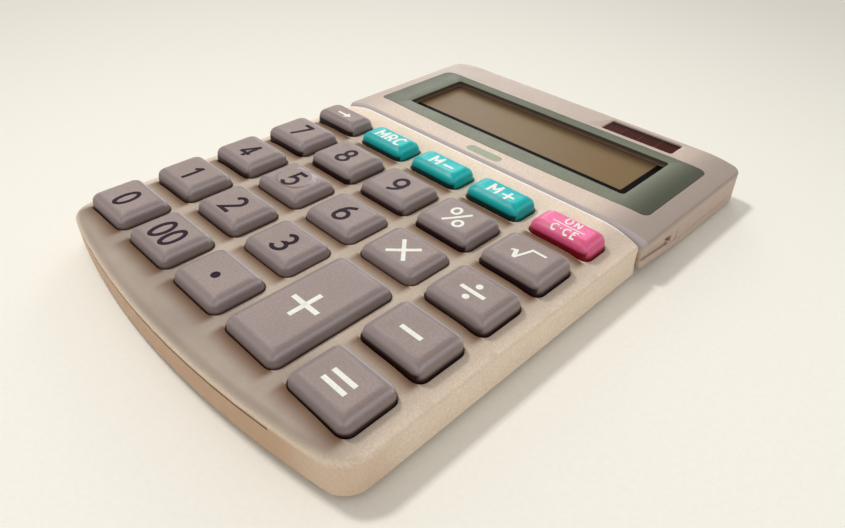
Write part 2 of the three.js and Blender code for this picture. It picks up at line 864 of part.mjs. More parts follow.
function hingePin(side) {
  const ribInner = armInnerX - runGap - washerThickness - runGap - hingeRibThickness;
  const headEnd = ribInner - seatGap - pinHeadThickness;
  const end = headWidth / 2 - headSideWall - pinEndCover;
  return turnedOnHinge([
    [0, side * headEnd],
    [pinHeadRadius, side * headEnd],
    [pinHeadRadius, side * (headEnd + pinHeadThickness)],
    [pinRadius, side * (headEnd + pinHeadThickness)],
    [pinRadius, side * end],
    [0, side * end],
  ], smallSides);
}

function hingeWasher(side) {
  const outer = armInnerX - runGap;
  const inner = outer - washerThickness;
  const bore = pinRadius + pinGap;
  return turnedOnHinge([
    [bore, side * inner],
    [washerRadius, side * inner],
    [washerRadius, side * outer],
    [bore, side * outer],
    [bore, side * inner],
  ], smallSides);
}

// Tab that hangs from the head's roof and carries the hinge pin.
function hingeTab(side, from, to) {
  const x = side * Math.max(from, to);
  const top = faceHeight - headTopWall / 2 - camber(x, headCamberStart, headCamberRadius);
  const outline = [
    ...arc(pivotY, pivotZ, hingeRibRadius, 180, 360, 6),
    new THREE.Vector2(pivotY + hingeRibRadius, top),
    new THREE.Vector2(pivotY - hingeRibRadius, top),
  ];
  return prismAcross(outline, Math.min(side * from, side * to), Math.max(side * from, side * to));
}

function hingeTabs(side) {
  const ribOuter = armInnerX - runGap - washerThickness - runGap;
  const bossInner = armInnerX + armThickness + runGap;
  const wallInner = headWidth / 2 - headSideWall;
  return [
    hingeTab(side, ribOuter - hingeRibThickness, ribOuter),
    hingeTab(side, bossInner, wallInner - runGap),
    hingeTab(side, bossInner, wallInner + headSideWall / 2).intersect(partingBlock(true)),
  ];
}

function pinHoleInHead(side) {
  const from = armInnerX - runGap - washerThickness - runGap - hingeRibThickness - cutOverrun;
  const to = headWidth / 2 - headSideWall - pinEndCover + runGap;
  return turnedOnHinge([
    [0, side * from],
    [pinRadius + pinGap, side * from],
    [pinRadius + pinGap, side * to],
    [0, side * to],
  ], smallSides);
}

// Space in the head that the arm sweeps as the head tilts.
function armSlotInHead(side) {
  const tilt = THREE.MathUtils.degToRad(tiltLimitDegrees);
  const swept = armOutline()
    .filter((point) => point.x > pivotY - concaveRadius)
    .map((point) => pivotZ - (point.x - pivotY) * Math.sin(tilt) + (point.y - pivotZ) * Math.cos(tilt));
  const seamTop = pivotZ + concaveRadius * Math.sin(tilt) - armTopDrop * Math.cos(tilt);
  const top = Math.max(...swept, seamTop) + runGap;
  const front = pivotY - concaveRadius - cutOverrun;
  const back = pivotY + armEndRadius + runGap;
  const outline = [
    new THREE.Vector2(front, 0),
    new THREE.Vector2(back, 0),
    new THREE.Vector2(back, top),
    new THREE.Vector2(front, top),
  ];
  const inner = side * (armInnerX - runGap);
  const outer = side * (armInnerX + armThickness + runGap);
  return prismAcross(outline, Math.min(inner, outer), Math.max(inner, outer));
}

// Display head

function rampZ(y) {
  const share = Math.max(0, rampEndY - y) / (rampEndY - barrelFrontY);
  return headStand + rampRise * share;
}

// Cross section of the head, drawn in by the given walls; with no walls it is the outside.
function headSection(x, walls) {
  const half = headWidth / 2 - walls.side;
  const radius = barrelRadius - walls.front;
  const atCrease = Math.abs(x) >= half ? creaseDrop : 0;
  const top = faceHeight - walls.top - camber(x, headCamberStart, headCamberRadius) - atCrease;
  const edge = walls.front > 0 ? innerEdgeRadius : seamEdgeRadius;
  const backEdge = walls.back > 0 ? innerEdgeRadius : headBackEdgeRadius;
  const seamDraw = cornerDraw(x, half, headSeamCornerRadius);
  const back = backY - walls.back - cornerDraw(x, half, headBackCornerRadius - walls.back);
  const bottom = rampZ(barrelFrontY) + walls.floor;
  const barrelSteps = walls.side > 0 ? 2 : 4;
  const barrel = Array.from({ length: barrelSteps + 1 }, (_, step) => {
    const z = THREE.MathUtils.lerp(bottom, top - edge, step / barrelSteps);
    return new THREE.Vector2(barrelY(z, radius) + seamDraw, z);
  });
  const lipY = barrel[barrelSteps].x;
  return [
    ...barrel,
    ...arc(lipY + edge, top - edge, edge, 180, 90, walls.side > 0 ? 1 : 2).slice(1),
    ...arc(back - backEdge, top - backEdge, backEdge, 90, 0, walls.side > 0 ? 1 : 3),
    new THREE.Vector2(back, headStand + walls.floor),
    new THREE.Vector2(rampEndY, headStand + walls.floor),
  ];
}

function headLoft(walls) {
  const half = headWidth / 2 - walls.side;
  const steps = walls.side > 0 ? innerCornerSteps : cornerSteps;
  const places = stations(half, headCamberStart, headBackCornerRadius - walls.back, steps);
  return loftAcross(places, (x) => headSection(x, walls), half);
}

const noWalls = { side: 0, top: 0, front: 0, back: 0, floor: 0 };
const headWalls = {
  side: headSideWall,
  top: headTopWall,
  front: headFrontWall,
  back: headBackWall,
  floor: headFloor,
};

// Half space above or below the head's parting line, which runs level with its lower edge.
function partingBlock(above) {
  const gap = (above ? 1 : -1) * (seatGap / 2);
  const limitZ = above ? faceHeight + cutOverrun : -cutOverrun;
  const front = pivotY - concaveRadius - cutOverrun;
  const back = backY + cutOverrun;
  const line = [back, rampEndY, front].map((y) => new THREE.Vector2(y, rampZ(y) + partingHeight + gap));
  const outline = [new THREE.Vector2(front, limitZ), new THREE.Vector2(back, limitZ), ...line];
  const reach = headWidth / 2 + cutOverrun;
  return prismAcross(outline, -reach, reach);
}

const headScrews = [
  ...mirroredPair((side) => ({
    x: side * (armInnerX - headScrewArmGap),
    y: barrelFrontY + headScrewFrontInset,
  })),
  ...mirroredPair((side) => ({
    x: side * (headWidth / 2 - headScrewSideMargin),
    y: backY - headScrewBackInset,
  })),
];

// The bezel's plan drawn as a cambered plate, grown by a clearance for the recess it lies in.
function bezelPlate(grow, depth, above) {
  const half = bezelWidth / 2 + grow;
  const corner = bezelCornerRadius + grow;
  const places = stations(half, headCamberStart, corner);
  return loft(places.map((x) => {
    const bow = bezelBow * (x / half) ** 2;
    const drawn = cornerDraw(x, half, corner);
    const front = bezelFrontY - grow + bow + drawn;
    const back = bezelBackY + grow - drawn;
    const top = faceHeight - camber(x, headCamberStart, headCamberRadius);
    return [
      new THREE.Vector3(x, front, top - depth),
      new THREE.Vector3(x, back, top - depth),
      new THREE.Vector3(x, back, top + above),
      new THREE.Vector3(x, front, top + above),
    ];
  }), true);
}

function windowPrism(grow, bottomZ, topZ) {
  return prismUp(
    roundedBox(0, windowCentreY, windowWidth + 2 * grow, windowLength + 2 * grow, windowCornerRadius),
    bottomZ,
    topZ,
  );
}

function solarWindow() {
  return prismUp(
    roundedBox(solarX, solarY, solarWidth, solarLength, solarCornerRadius),
    faceHeight - headTopWall - cutOverrun,
    faceHeight + cutOverrun,
  );
}

function framePlan(grow) {
  const width = windowWidth + 2 * (frameMarginX + grow);
  const length = windowLength + 2 * (frameMarginY + grow);
  return roundedBox(0, windowCentreY, width, length, windowCornerRadius);
}

// Shallow relief beside the hinge, a three-cornered notch and a round slit behind it.
function sideMarks(side) {
  const wallX = headWidth / 2;
  const out = wallX + cutOverrun;
  const across = (depth) => {
    const inner = side * (wallX - depth);
    return [Math.min(inner, side * out), Math.max(inner, side * out)];
  };
  const partingAt = (y) => new THREE.Vector2(y, rampZ(y) + partingHeight);
  const frontEnd = pivotY - concaveRadius;
  const notch = [
    new THREE.Vector2(pivotY - notchFrontY, pivotZ + notchFrontRise),
    new THREE.Vector2(pivotY + notchBackY, pivotZ - notchFootDrop),
    new THREE.Vector2(pivotY + notchBackY, pivotZ + notchBackRise),
  ];
  const notchMiddle = new THREE.Vector2();
  notch.forEach((corner) => notchMiddle.addScaledVector(corner, 1 / notch.length));
  const relief = [
    partingAt(frontEnd),
    partingAt(notchMiddle.x),
    notchMiddle,
    new THREE.Vector2(pivotY - reliefMiddleY, pivotZ + reliefMiddleRise),
    new THREE.Vector2(frontEnd, pivotZ + reliefFrontRise),
  ];
  const slit = [
    ...arc(pivotY, pivotZ, slitRadius, slitStartDegrees, slitEndDegrees, 5),
    ...arc(pivotY, pivotZ, slitRadius + slitWidth, slitEndDegrees, slitStartDegrees, 5),
  ];
  return [
    prismAcross(relief, ...across(reliefDepth)),
    prismAcross(notch, ...across(notchDepth)),
    prismAcross(slit, ...across(notchDepth)),
  ];
}

function headFrontShell() {
  const shell = headLoft(noWalls).intersect(partingBlock(true)).subtract(headLoft(headWalls));
  const roofZ = faceHeight - headTopWall / 2;
  const bosses = headScrews.map(({ x, y }) => postUp(
    bossRadius,
    x,
    y,
    rampZ(y - bossRadius) + headFloor + runGap,
    roofZ - camber(x, headCamberStart, headCamberRadius),
    smallSides,
  ));
  const screwHoles = headScrews.map(({ x, y }) => postUp(
    screwHoleRadius,
    x,
    y,
    0,
    rampZ(y) + screwLength + runGap,
    smallSides,
  ));
  return cut(join(shell, [...bosses, ...mirroredPair(hingeTabs).flat()]), [
    ...screwHoles,
    bezelPlate(seatGap, bezelThickness + seatGap, cutOverrun),
    windowPrism(runGap, windowRoofZ - cutOverrun, faceHeight),
    prismUp(framePlan(runGap), frameBottomZ, windowRoofZ),
    solarWindow(),
    ...mirroredPair(pinHoleInHead),
    ...mirroredPair(armSlotInHead),
    ...mirroredPair(sideMarks).flat(),
    ribbonSlot(pivotY - concaveRadius, barrelFrontY + ribbonSlotReach),
  ]);
}

const headFeet = mirroredPair((side) => ({ x: side * footX, y: backY - backFootInset }));

function postsUnderDisplay() {
  const reachX = windowWidth / 2 + frameMarginX - postInsetX;
  const reachY = windowLength / 2 + frameMarginY - postInsetY;
  return mirroredPair((side) => mirroredPair((end) => postUp(
    postRadius,
    side * reachX,
    windowCentreY + end * reachY,
    headFloorTopZ - headFloor / 2,
    displayBoardBottomZ - runGap,
    smallSides,
  ))).flat();
}

function postsUnderSolarCell() {
  return mirroredPair((side) => postUp(
    postRadius,
    solarX + side * (solarWidth / 2 - postInsetX),
    solarY,
    headFloorTopZ - headFloor / 2,
    solarCellTopZ - solarCellThickness - runGap,
    smallSides,
  ));
}

function doorPlan(grow) {
  return roundedBox(doorX, cellY, doorWidth + 2 * grow, doorLength + 2 * grow, doorCornerRadius + grow);
}

function headRearShell() {
  const shell = headLoft(noWalls).intersect(partingBlock(false)).subtract(headLoft(headWalls));
  const padTop = headFloorTopZ + doorPadRise;
  const rootZ = headFloorTopZ - headFloor / 2;
  const wellRadius = cellRadius + runGap + wellWall;
  const additions = [
    ...postsUnderDisplay(),
    ...postsUnderSolarCell(),
    prismUp(doorPlan(doorPadMargin / 2), rootZ, padTop),
    postUp(wellRadius, cellX, cellY, rootZ, cellTopZ - seatGap, wideSides),
    postUp(doorBossRadius, doorScrewX, cellY, rootZ, headStand + screwLength + wellWall),
  ];
  const footPockets = headFeet.map(({ x, y }) => postUp(
    headFootRadius + runGap,
    x,
    y,
    headStand - cutOverrun,
    headStand + footSink + seatGap,
  ));
  return cut(join(shell, additions), [
    ...footPockets,
    prismUp(doorPlan(seatGap), headStand - cutOverrun, doorTopZ + seatGap),
    postUp(cellRadius + runGap, cellX, cellY, headStand, cellTopZ + cutOverrun, wideSides),
    postUp(doorScrewHoleRadius, doorScrewX, cellY, headStand, headStand + screwLength + seatGap),
    ...headScrews.map((place) => screwSeat(place, rampZ(place.y), rampZ(place.y) + headFloor)),
    ...mirroredPair(armSlotInHead),
    ribbonSlot(pivotY - concaveRadius, barrelFrontY + ribbonSlotReach),
  ]);
}

function displayBezel() {
  return bezelPlate(0, bezelThickness, 0).subtract(windowPrism(0, 0, faceHeight + cutOverrun));
}

function displayFrame() {
  const body = prismUp(framePlan(0), frameBottomZ, frameTopZ);
  const lip = windowPrism(-frameLipReach, frameBottomZ - cutOverrun, frameTopZ + cutOverrun);
  const seat = prismUp(framePlan(-frameWall), frameBottomZ - cutOverrun, frameTopZ - frameLip);
  return cut(body, [lip, seat]);
}

function displayPanel() {
  return prismUp(framePlan(-frameWall - runGap), panelTopZ - panelThickness, panelTopZ);
}

function displayBoard() {
  const board = prismUp(framePlan(0), displayBoardBottomZ, displayBoardTopZ);
  const notchReach = cellRadius + runGap + wellWall + runGap;
  const notch = prismUp(
    roundedBox(cellX, cellY, 2 * notchReach, 2 * notchReach, windowCornerRadius),
    displayBoardBottomZ - cutOverrun,
    displayBoardTopZ + cutOverrun,
  );
  return board.subtract(notch);
}

function controllerChip() {
  const top = displayBoardBottomZ - seatGap;
  return turnedUp([
    [0, top - chipHeight],
    [chipRadius / 2, top - chipHeight],
    [chipRadius, top - chipHeight / 3],
    [chipRadius, top],
    [0, top],
  ], chipX, windowCentreY);
}

function solarCell() {
  const back = backY - headBackWall - runGap;
  const front = solarY - solarLength / 2 - solarCellMargin;
  return prismUp(
    roundedBox(
      solarX,
      (front + back) / 2,
      solarWidth + 2 * solarCellMargin,
      back - front,
      solarCornerRadius,
    ),
    solarCellTopZ - solarCellThickness,
    solarCellTopZ,
  );
}

// Power

function batteryCell() {
  return postUp(cellRadius, cellX, cellY, cellTopZ - cellHeight, cellTopZ, wideSides);
}

function contactStrip(fromX, toX, centreY, width, bottomZ) {
  return prismUp([
    new THREE.Vector2(fromX, centreY - width / 2),
    new THREE.Vector2(toX, centreY - width / 2),
    new THREE.Vector2(toX, centreY + width / 2),
    new THREE.Vector2(fromX, centreY + width / 2),
  ], bottomZ, bottomZ + contactThickness);
}

function batteryContactPositive() {
  const notchReach = cellRadius + runGap + wellWall;
  const length = notchReach + cellRadius / 2;
  return contactStrip(
    cellX - contactWidth / 2,
    cellX + contactWidth / 2,
    cellY - notchReach + length / 2,
    length,
    cellTopZ + seatGap,
  );
}

function batteryContactNegative() {
  const bottom = cellTopZ - cellHeight - seatGap - contactThickness;
  const reach = cellRadius - wellWall;
  return contactStrip(cellX - reach, cellX + reach, cellY, contactWidth, bottom);
}

function batteryDoor() {
  const ledgeZ = headStand + doorScrewHeadThickness + seatGap / 2;
  const seat = turnedUp([
    [0, headStand - cutOverrun],
    [doorScrewHeadRadius + seatGap, headStand - cutOverrun],
    [doorScrewHeadRadius + seatGap, ledgeZ],
    [doorScrewHoleRadius, ledgeZ],
    [doorScrewHoleRadius, doorTopZ + cutOverrun],
    [0, doorTopZ + cutOverrun],
  ], doorScrewX, cellY);
  return prismUp(doorPlan(0), headStand, doorTopZ).subtract(seat);
}

function batteryDoorScrew() {
  const headTop = headStand + doorScrewHeadThickness;
  return turnedUp([
    [0, headStand],
    [doorScrewHeadRadius, headStand],
    [doorScrewHeadRadius, headTop],
    [doorScrewShankRadius, headTop],
    [doorScrewShankRadius, headStand + screwLength],
    [0, headStand + screwLength],
  ], doorScrewX, cellY, screwSides);
}

// Flat cable from the keypad's board, through the slots in both housings, to the display's board.
function ribbonCable() {
  const start = bodyInnerBackY - boardBackMargin + runGap;
  const end = windowCentreY - windowLength / 2 - frameMarginY - runGap;
  const bend = barrelFrontY + 2 * headFrontWall;
  const half = ribbonThickness / 2;
  const outline = [
    new THREE.Vector2(start, ribbonFrontZ - half),
    new THREE.Vector2(bend, ribbonFrontZ - half),
    new THREE.Vector2(end, ribbonBackZ - half),
    new THREE.Vector2(end, ribbonBackZ + half),
    new THREE.Vector2(bend, ribbonFrontZ + half),
    new THREE.Vector2(start, ribbonFrontZ + half),
  ];
  return prismAcross(outline, -ribbonWidth / 2, ribbonWidth / 2);
}

// Assembly

function named(name, solid, finish) {
  const mesh = new THREE.Mesh(geometryOf(solid), new THREE.MeshStandardMaterial(finish));
  mesh.name = name;
  return mesh;
}

function keypadBody() {
  const group = new THREE.Group();
  group.add(
    named('keypad_cover', keypadCover(), finishes.bodyPlastic),
    named('base_cover', baseCover(), finishes.basePlastic),
    named('circuit_board', circuitBoard(), finishes.boardLaminate),
    named('rubber_keypad', rubberKeypad(), finishes.softRubber),
  );
  const corners = ['front_left', 'front_right', 'back_left', 'back_right'];
  baseScrews.forEach((place, i) => group.add(
    named(`base_screw_${corners[i]}`, screwAt(place, bodyStand), finishes.steel),
  ));
  feetOfBase().forEach((place, i) => group.add(
    named(`body_foot_${corners[i]}`, footAt(place, bodyFootRadius, bodyStand), finishes.footRubber),
  ));
  return group;
}

function keys() {
  const group = new THREE.Group();
  keyPlaces().forEach((place) => group.add(named(place.name, keyCap(place), keyFinish(place.name))));
  return group;
}

function hingeHardware() {
  const group = new THREE.Group();
  [['left', -1], ['right', 1]].forEach(([name, side]) => group.add(
    named(`hinge_pin_${name}`, hingePin(side), finishes.steel),
    named(`hinge_washer_${name}`, hingeWasher(side), finishes.steel),
  ));
  return group;
}

function displayHead() {
  const group = new THREE.Group();
  group.add(
    named('head_front_shell', headFrontShell(), finishes.headPlastic),
    named('head_rear_shell', headRearShell(), finishes.headPlastic),
    named('display_bezel', displayBezel(), finishes.bezelPaint),
    named('display_frame', displayFrame(), finishes.blackPlastic),
    named('display_panel', displayPanel(), finishes.displayGlass),
    named('display_board', displayBoard(), finishes.boardLaminate),
    named('controller_chip', controllerChip(), finishes.blackPlastic),
    named('solar_cell', solarCell(), finishes.solarGlass),
    named('battery_cell', batteryCell(), finishes.steel),
    named('battery_contact_positive', batteryContactPositive(), finishes.brass),
    named('battery_contact_negative', batteryContactNegative(), finishes.brass),
    named('battery_door', batteryDoor(), finishes.headPlastic),
    named('battery_door_screw', batteryDoorScrew(), finishes.steel),
  );
  const corners = ['front_left', 'front_right', 'back_left', 'back_right'];
  headScrews.forEach((place, i) => group.add(
    named(`head_screw_${corners[i]}`, screwAt(place, rampZ(place.y)), finishes.steel),
  ));
  headFeet.forEach((place, i) => group.add(
    named(`head_foot_${['left', 'right'][i]}`, footAt(place, headFootRadius, headStand), finishes.footRubber),
  ));
  return group;
}

const calculator = new THREE.Group();
calculator.add(keypadBody(), keys(), hingeHardware(), displayHead());
calculator.add(named('ribbon_cable', ribbonCable(), finishes.ribbonFilm));

export default calculator;
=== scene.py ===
"""Desktop calculator with sprung keys and a tilting display head, dressed for a studio picture.

Sizes are in millimetres in the classes below and become metres when a mesh is made. The frame is
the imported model's: +X to the user's right, +Y away from the user, +Z up, origin on the table.
"""

import json
import logging
import math
from dataclasses import dataclass
from enum import Enum

import bmesh
import bpy
from mathutils import Matrix, Vector


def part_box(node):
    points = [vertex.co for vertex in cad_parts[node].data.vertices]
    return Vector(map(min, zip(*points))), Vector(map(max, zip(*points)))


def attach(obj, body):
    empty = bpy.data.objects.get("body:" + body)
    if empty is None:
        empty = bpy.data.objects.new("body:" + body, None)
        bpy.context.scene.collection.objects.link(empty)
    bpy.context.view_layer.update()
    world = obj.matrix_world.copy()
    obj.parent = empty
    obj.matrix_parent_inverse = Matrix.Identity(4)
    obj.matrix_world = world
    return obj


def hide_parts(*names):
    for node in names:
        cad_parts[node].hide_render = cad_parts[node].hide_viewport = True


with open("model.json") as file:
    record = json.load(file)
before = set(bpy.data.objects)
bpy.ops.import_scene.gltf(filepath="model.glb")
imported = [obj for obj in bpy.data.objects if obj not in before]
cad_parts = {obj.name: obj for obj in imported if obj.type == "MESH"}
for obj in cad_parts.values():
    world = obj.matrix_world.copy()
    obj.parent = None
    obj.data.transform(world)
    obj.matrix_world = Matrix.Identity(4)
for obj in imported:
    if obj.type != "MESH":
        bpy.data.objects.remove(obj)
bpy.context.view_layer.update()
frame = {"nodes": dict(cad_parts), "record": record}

LOG = logging.getLogger("calculator")
MM = 0.001

Flat = tuple[float, float]
Solid = tuple[float, float, float]
Ring = list[Solid]
Rgb = tuple[float, float, float]
Piece = bpy.types.Object
Material = bpy.types.Material
Socket = bpy.types.NodeSocket
Value = Socket | float
Tint = Rgb | Socket


def tone(red: int, green: int, blue: int) -> Rgb:
    """The linear value, as shaders take it, of a colour that a screen shows with channels from 0 to 255."""
    shares = [channel / 255 for channel in (red, green, blue)]
    return tuple(share / 12.92 if share <= 0.04045 else ((share + 0.055) / 1.055) ** 2.4 for share in shares)


def held(value: float) -> float:
    """A value held between 0 and 1."""
    return min(1.0, max(0.0, value))


BACKGROUND = tone(236, 232, 219)


class Ink(Enum):
    """Colour of a printed legend."""

    DARK = "dark"
    WHITE = "white"


class CapColour(Enum):
    """Plastic of a key cap, named as the record's material slots are."""

    GREY = "grey_key"
    TEAL = "teal_key"
    PINK = "pink_key"


# Node trees

class Nodes:
    """A node tree under construction."""

    def __init__(self, tree: bpy.types.NodeTree) -> None:
        """Takes a tree and empties it."""
        self.tree = tree
        tree.nodes.clear()

    def join(self, source: Socket, target: Socket) -> None:
        """Links two sockets."""
        self.tree.links.new(source, target)

    def fill(self, node: bpy.types.Node, values: dict) -> None:
        """Sets a node's inputs.

        Args:
            node: The node.
            values: Values or source sockets by input name or number.
        """
        for key, value in values.items():
            if isinstance(value, Socket):
                self.join(value, node.inputs[key])
            else:
                node.inputs[key].default_value = value

    def node(self, kind: str, values: dict | None = None, **settings: object) -> bpy.types.Node:
        """Adds a node.

        Args:
            kind: Blender's name of the node type.
            values: Values or source sockets by input name or number.
            settings: Properties of the node.

        Returns:
            The new node.
        """
        made = self.tree.nodes.new(kind)
        for key, value in settings.items():
            setattr(made, key, value)
        self.fill(made, values or {})
        return made

    def calc(self, operation: str, first: Value, second: Value = 0.0) -> Socket:
        """The result of a sum on one or two values."""
        return self.node("ShaderNodeMath", {0: first, 1: second}, operation=operation).outputs[0]

    def product(self, first: Value, *others: Value) -> Socket:
        """Several values multiplied by each other."""
        return self.product(self.calc("MULTIPLY", first, others[0]), *others[1:]) if others else first


class Shader(Nodes):
    """A material under construction."""

    def __init__(self, name: str) -> None:
        """Starts the material of that name.

        Args:
            name: Name of the material.
        """
        self.material = bpy.data.materials.new(name)
        self.material.use_nodes = True
        super().__init__(self.material.node_tree)
        self.surface = self.node("ShaderNodeBsdfPrincipled")
        self.node("ShaderNodeOutputMaterial", {"Surface": self.surface.outputs[0]})
        self.place = self.node("ShaderNodeTexCoord").outputs["Object"]

    def noise(self, scale: float, detail: float = 2.0, roughness: float = 0.5) -> Socket:
        """A noise pattern from 0 to 1, fixed to the piece, with scale grains in a metre."""
        values = {"Vector": self.place, "Scale": scale, "Detail": detail, "Roughness": roughness}
        return self.node("ShaderNodeTexNoise", values).outputs[0]

    def span(self, source: Socket, low: float, high: float, to_low: float = 0.0, to_high: float = 1.0) -> Socket:
        """Maps the range from low to high to the one from to_low to to_high, and holds the value there."""
        values = {0: source, 1: low, 2: high, 3: to_low, 4: to_high}
        return self.node("ShaderNodeMapRange", values, clamp=True, interpolation_type="SMOOTHSTEP").outputs[0]

    def zone(self, place: Socket, ends: Flat, full: float = 1.0, none: float = 0.0) -> Socket:
        """Value that grows from none to full between two places on an axis, given in millimetres."""
        return self.span(place, ends[0] * MM, ends[1] * MM, none, full)

    def pattern(self, scale: float, detail: float = 2.0, roughness: float = 0.5, used: Flat = (0.3, 0.7),
                becomes: Flat = (0.0, 1.0)) -> Socket:
        """A noise pattern of which the part used is spread over the range that it becomes."""
        return self.span(self.noise(scale, detail, roughness), *used, *becomes)

    def mix(self, share: Value, first: Tint, second: Tint) -> Socket:
        """Mixes two colours, with a share of the second."""
        first, second = (tint if isinstance(tint, Socket) else (*tint, 1.0) for tint in (first, second))
        return self.node("ShaderNodeMix", {0: share, 6: first, 7: second}, data_type="RGBA").outputs[2]

    def coordinate(self, axis: int) -> Socket:
        """The place on one axis in the piece's own frame, in metres."""
        return self.node("ShaderNodeSeparateXYZ", {0: self.place}).outputs[axis]

    def attribute(self, name: str) -> Socket:
        """The value that the mesh carries under a name."""
        return self.node("ShaderNodeAttribute", attribute_name=name).outputs["Fac"]

    def done(self, colour: Socket, roughness: Value, height: Socket, depth: float, specular: float = 0.5,
             metallic: float = 0.0) -> None:
        """Completes the material.

        Args:
            colour: Its colour.
            roughness: Its roughness.
            height: Pattern from 0 to 1 that raises the surface.
            depth: The pattern's height in metres.
            specular: Strength of its plain reflections.
            metallic: 1 for metal.
        """
        bump = self.node("ShaderNodeBump", {"Height": height, "Distance": depth, "Strength": 1.0})
        self.fill(self.surface, {"Base Color": colour, "Roughness": roughness, "Specular IOR Level": specular,
                                 "Metallic": metallic, "Normal": bump.outputs[0]})


def lighter(colour: Rgb, factor: float) -> Rgb:
    """Scales a colour and keeps it below white."""
    return tuple(min(1.0, value * factor) for value in colour)


# Finishes

@dataclass(frozen=True)
class Finish:
    """A material with a name and a main colour."""

    name: str
    colour: Rgb

    def paint(self, shader: Shader) -> None:
        """Sets up the shader, which each kind of finish does in its own way."""
        raise NotImplementedError

    def build(self) -> Material:
        """Makes the material.

        Returns:
            The material.
        """
        shader = Shader(self.name)
        self.paint(shader)
        return shader.material


@dataclass(frozen=True)
class MouldedPlastic(Finish):
    """Moulded plastic with a fine spark-eroded grain and faint clouding; some kinds add painted highlight and shade.

    A zone holds the places in millimetres where a tint begins to grow and where it is full.
    """

    roughness: float = 0.5
    grain: float = 0.000012
    specular: float = 0.25
    clouding: float = 0.05
    speck_share: float = 0.42
    speck_tone: float = 0.72
    foot_shade_colour: Rgb | None = None
    rim_highlight_colour: Rgb = (1.0, 1.0, 1.0)
    rim_highlight_share: float = 0.75
    slope_shade_colour: Rgb = (0.2, 0.2, 0.2)
    slope_shade_share: float = 0.6

    def tinted_with_painted_light(self, shader: Shader, coloured: Socket) -> Socket:
        """Adds a key's painted highlight on its rim, painted shade on its slopes and painted shade at its foot.

        Args:
            shader: The material under construction.
            coloured: Its clean colour.

        Returns:
            The socket of the colour with its painted highlight and shade.
        """
        if self.foot_shade_colour is None:
            return coloured
        # Painted shade on the slopes, painted highlight on the rim and painted shade at the foot, read from the cap's
        # attributes.
        slope = shader.product(shader.attribute("slope"), self.slope_shade_share)
        rim = shader.product(shader.attribute("rim"), self.rim_highlight_share)
        coloured = shader.mix(rim, shader.mix(slope, coloured, self.slope_shade_colour), self.rim_highlight_colour)
        return shader.mix(shader.attribute("skirt"), coloured, self.foot_shade_colour)

    def paint(self, shader: Shader) -> None:
        """Sets up the shader.

        Args:
            shader: The material under construction.
        """
        low, high = (lighter(self.colour, 1 + change) for change in (-self.clouding, self.clouding))
        coloured = shader.mix(shader.pattern(55.0, 3.0), low, high)
        specks = shader.span(shader.pattern(2400.0), 0.0, 1.0, 0.0, self.speck_share)
        coloured = shader.mix(specks, coloured, lighter(self.colour, self.speck_tone))
        rough = shader.pattern(220.0, 4.0, 0.6, (0.3, 0.75), (self.roughness - 0.06, self.roughness + 0.08))
        height = shader.noise(2600.0, 3.0, 0.6)
        shader.done(self.tinted_with_painted_light(shader, coloured), rough, height, self.grain, self.specular)


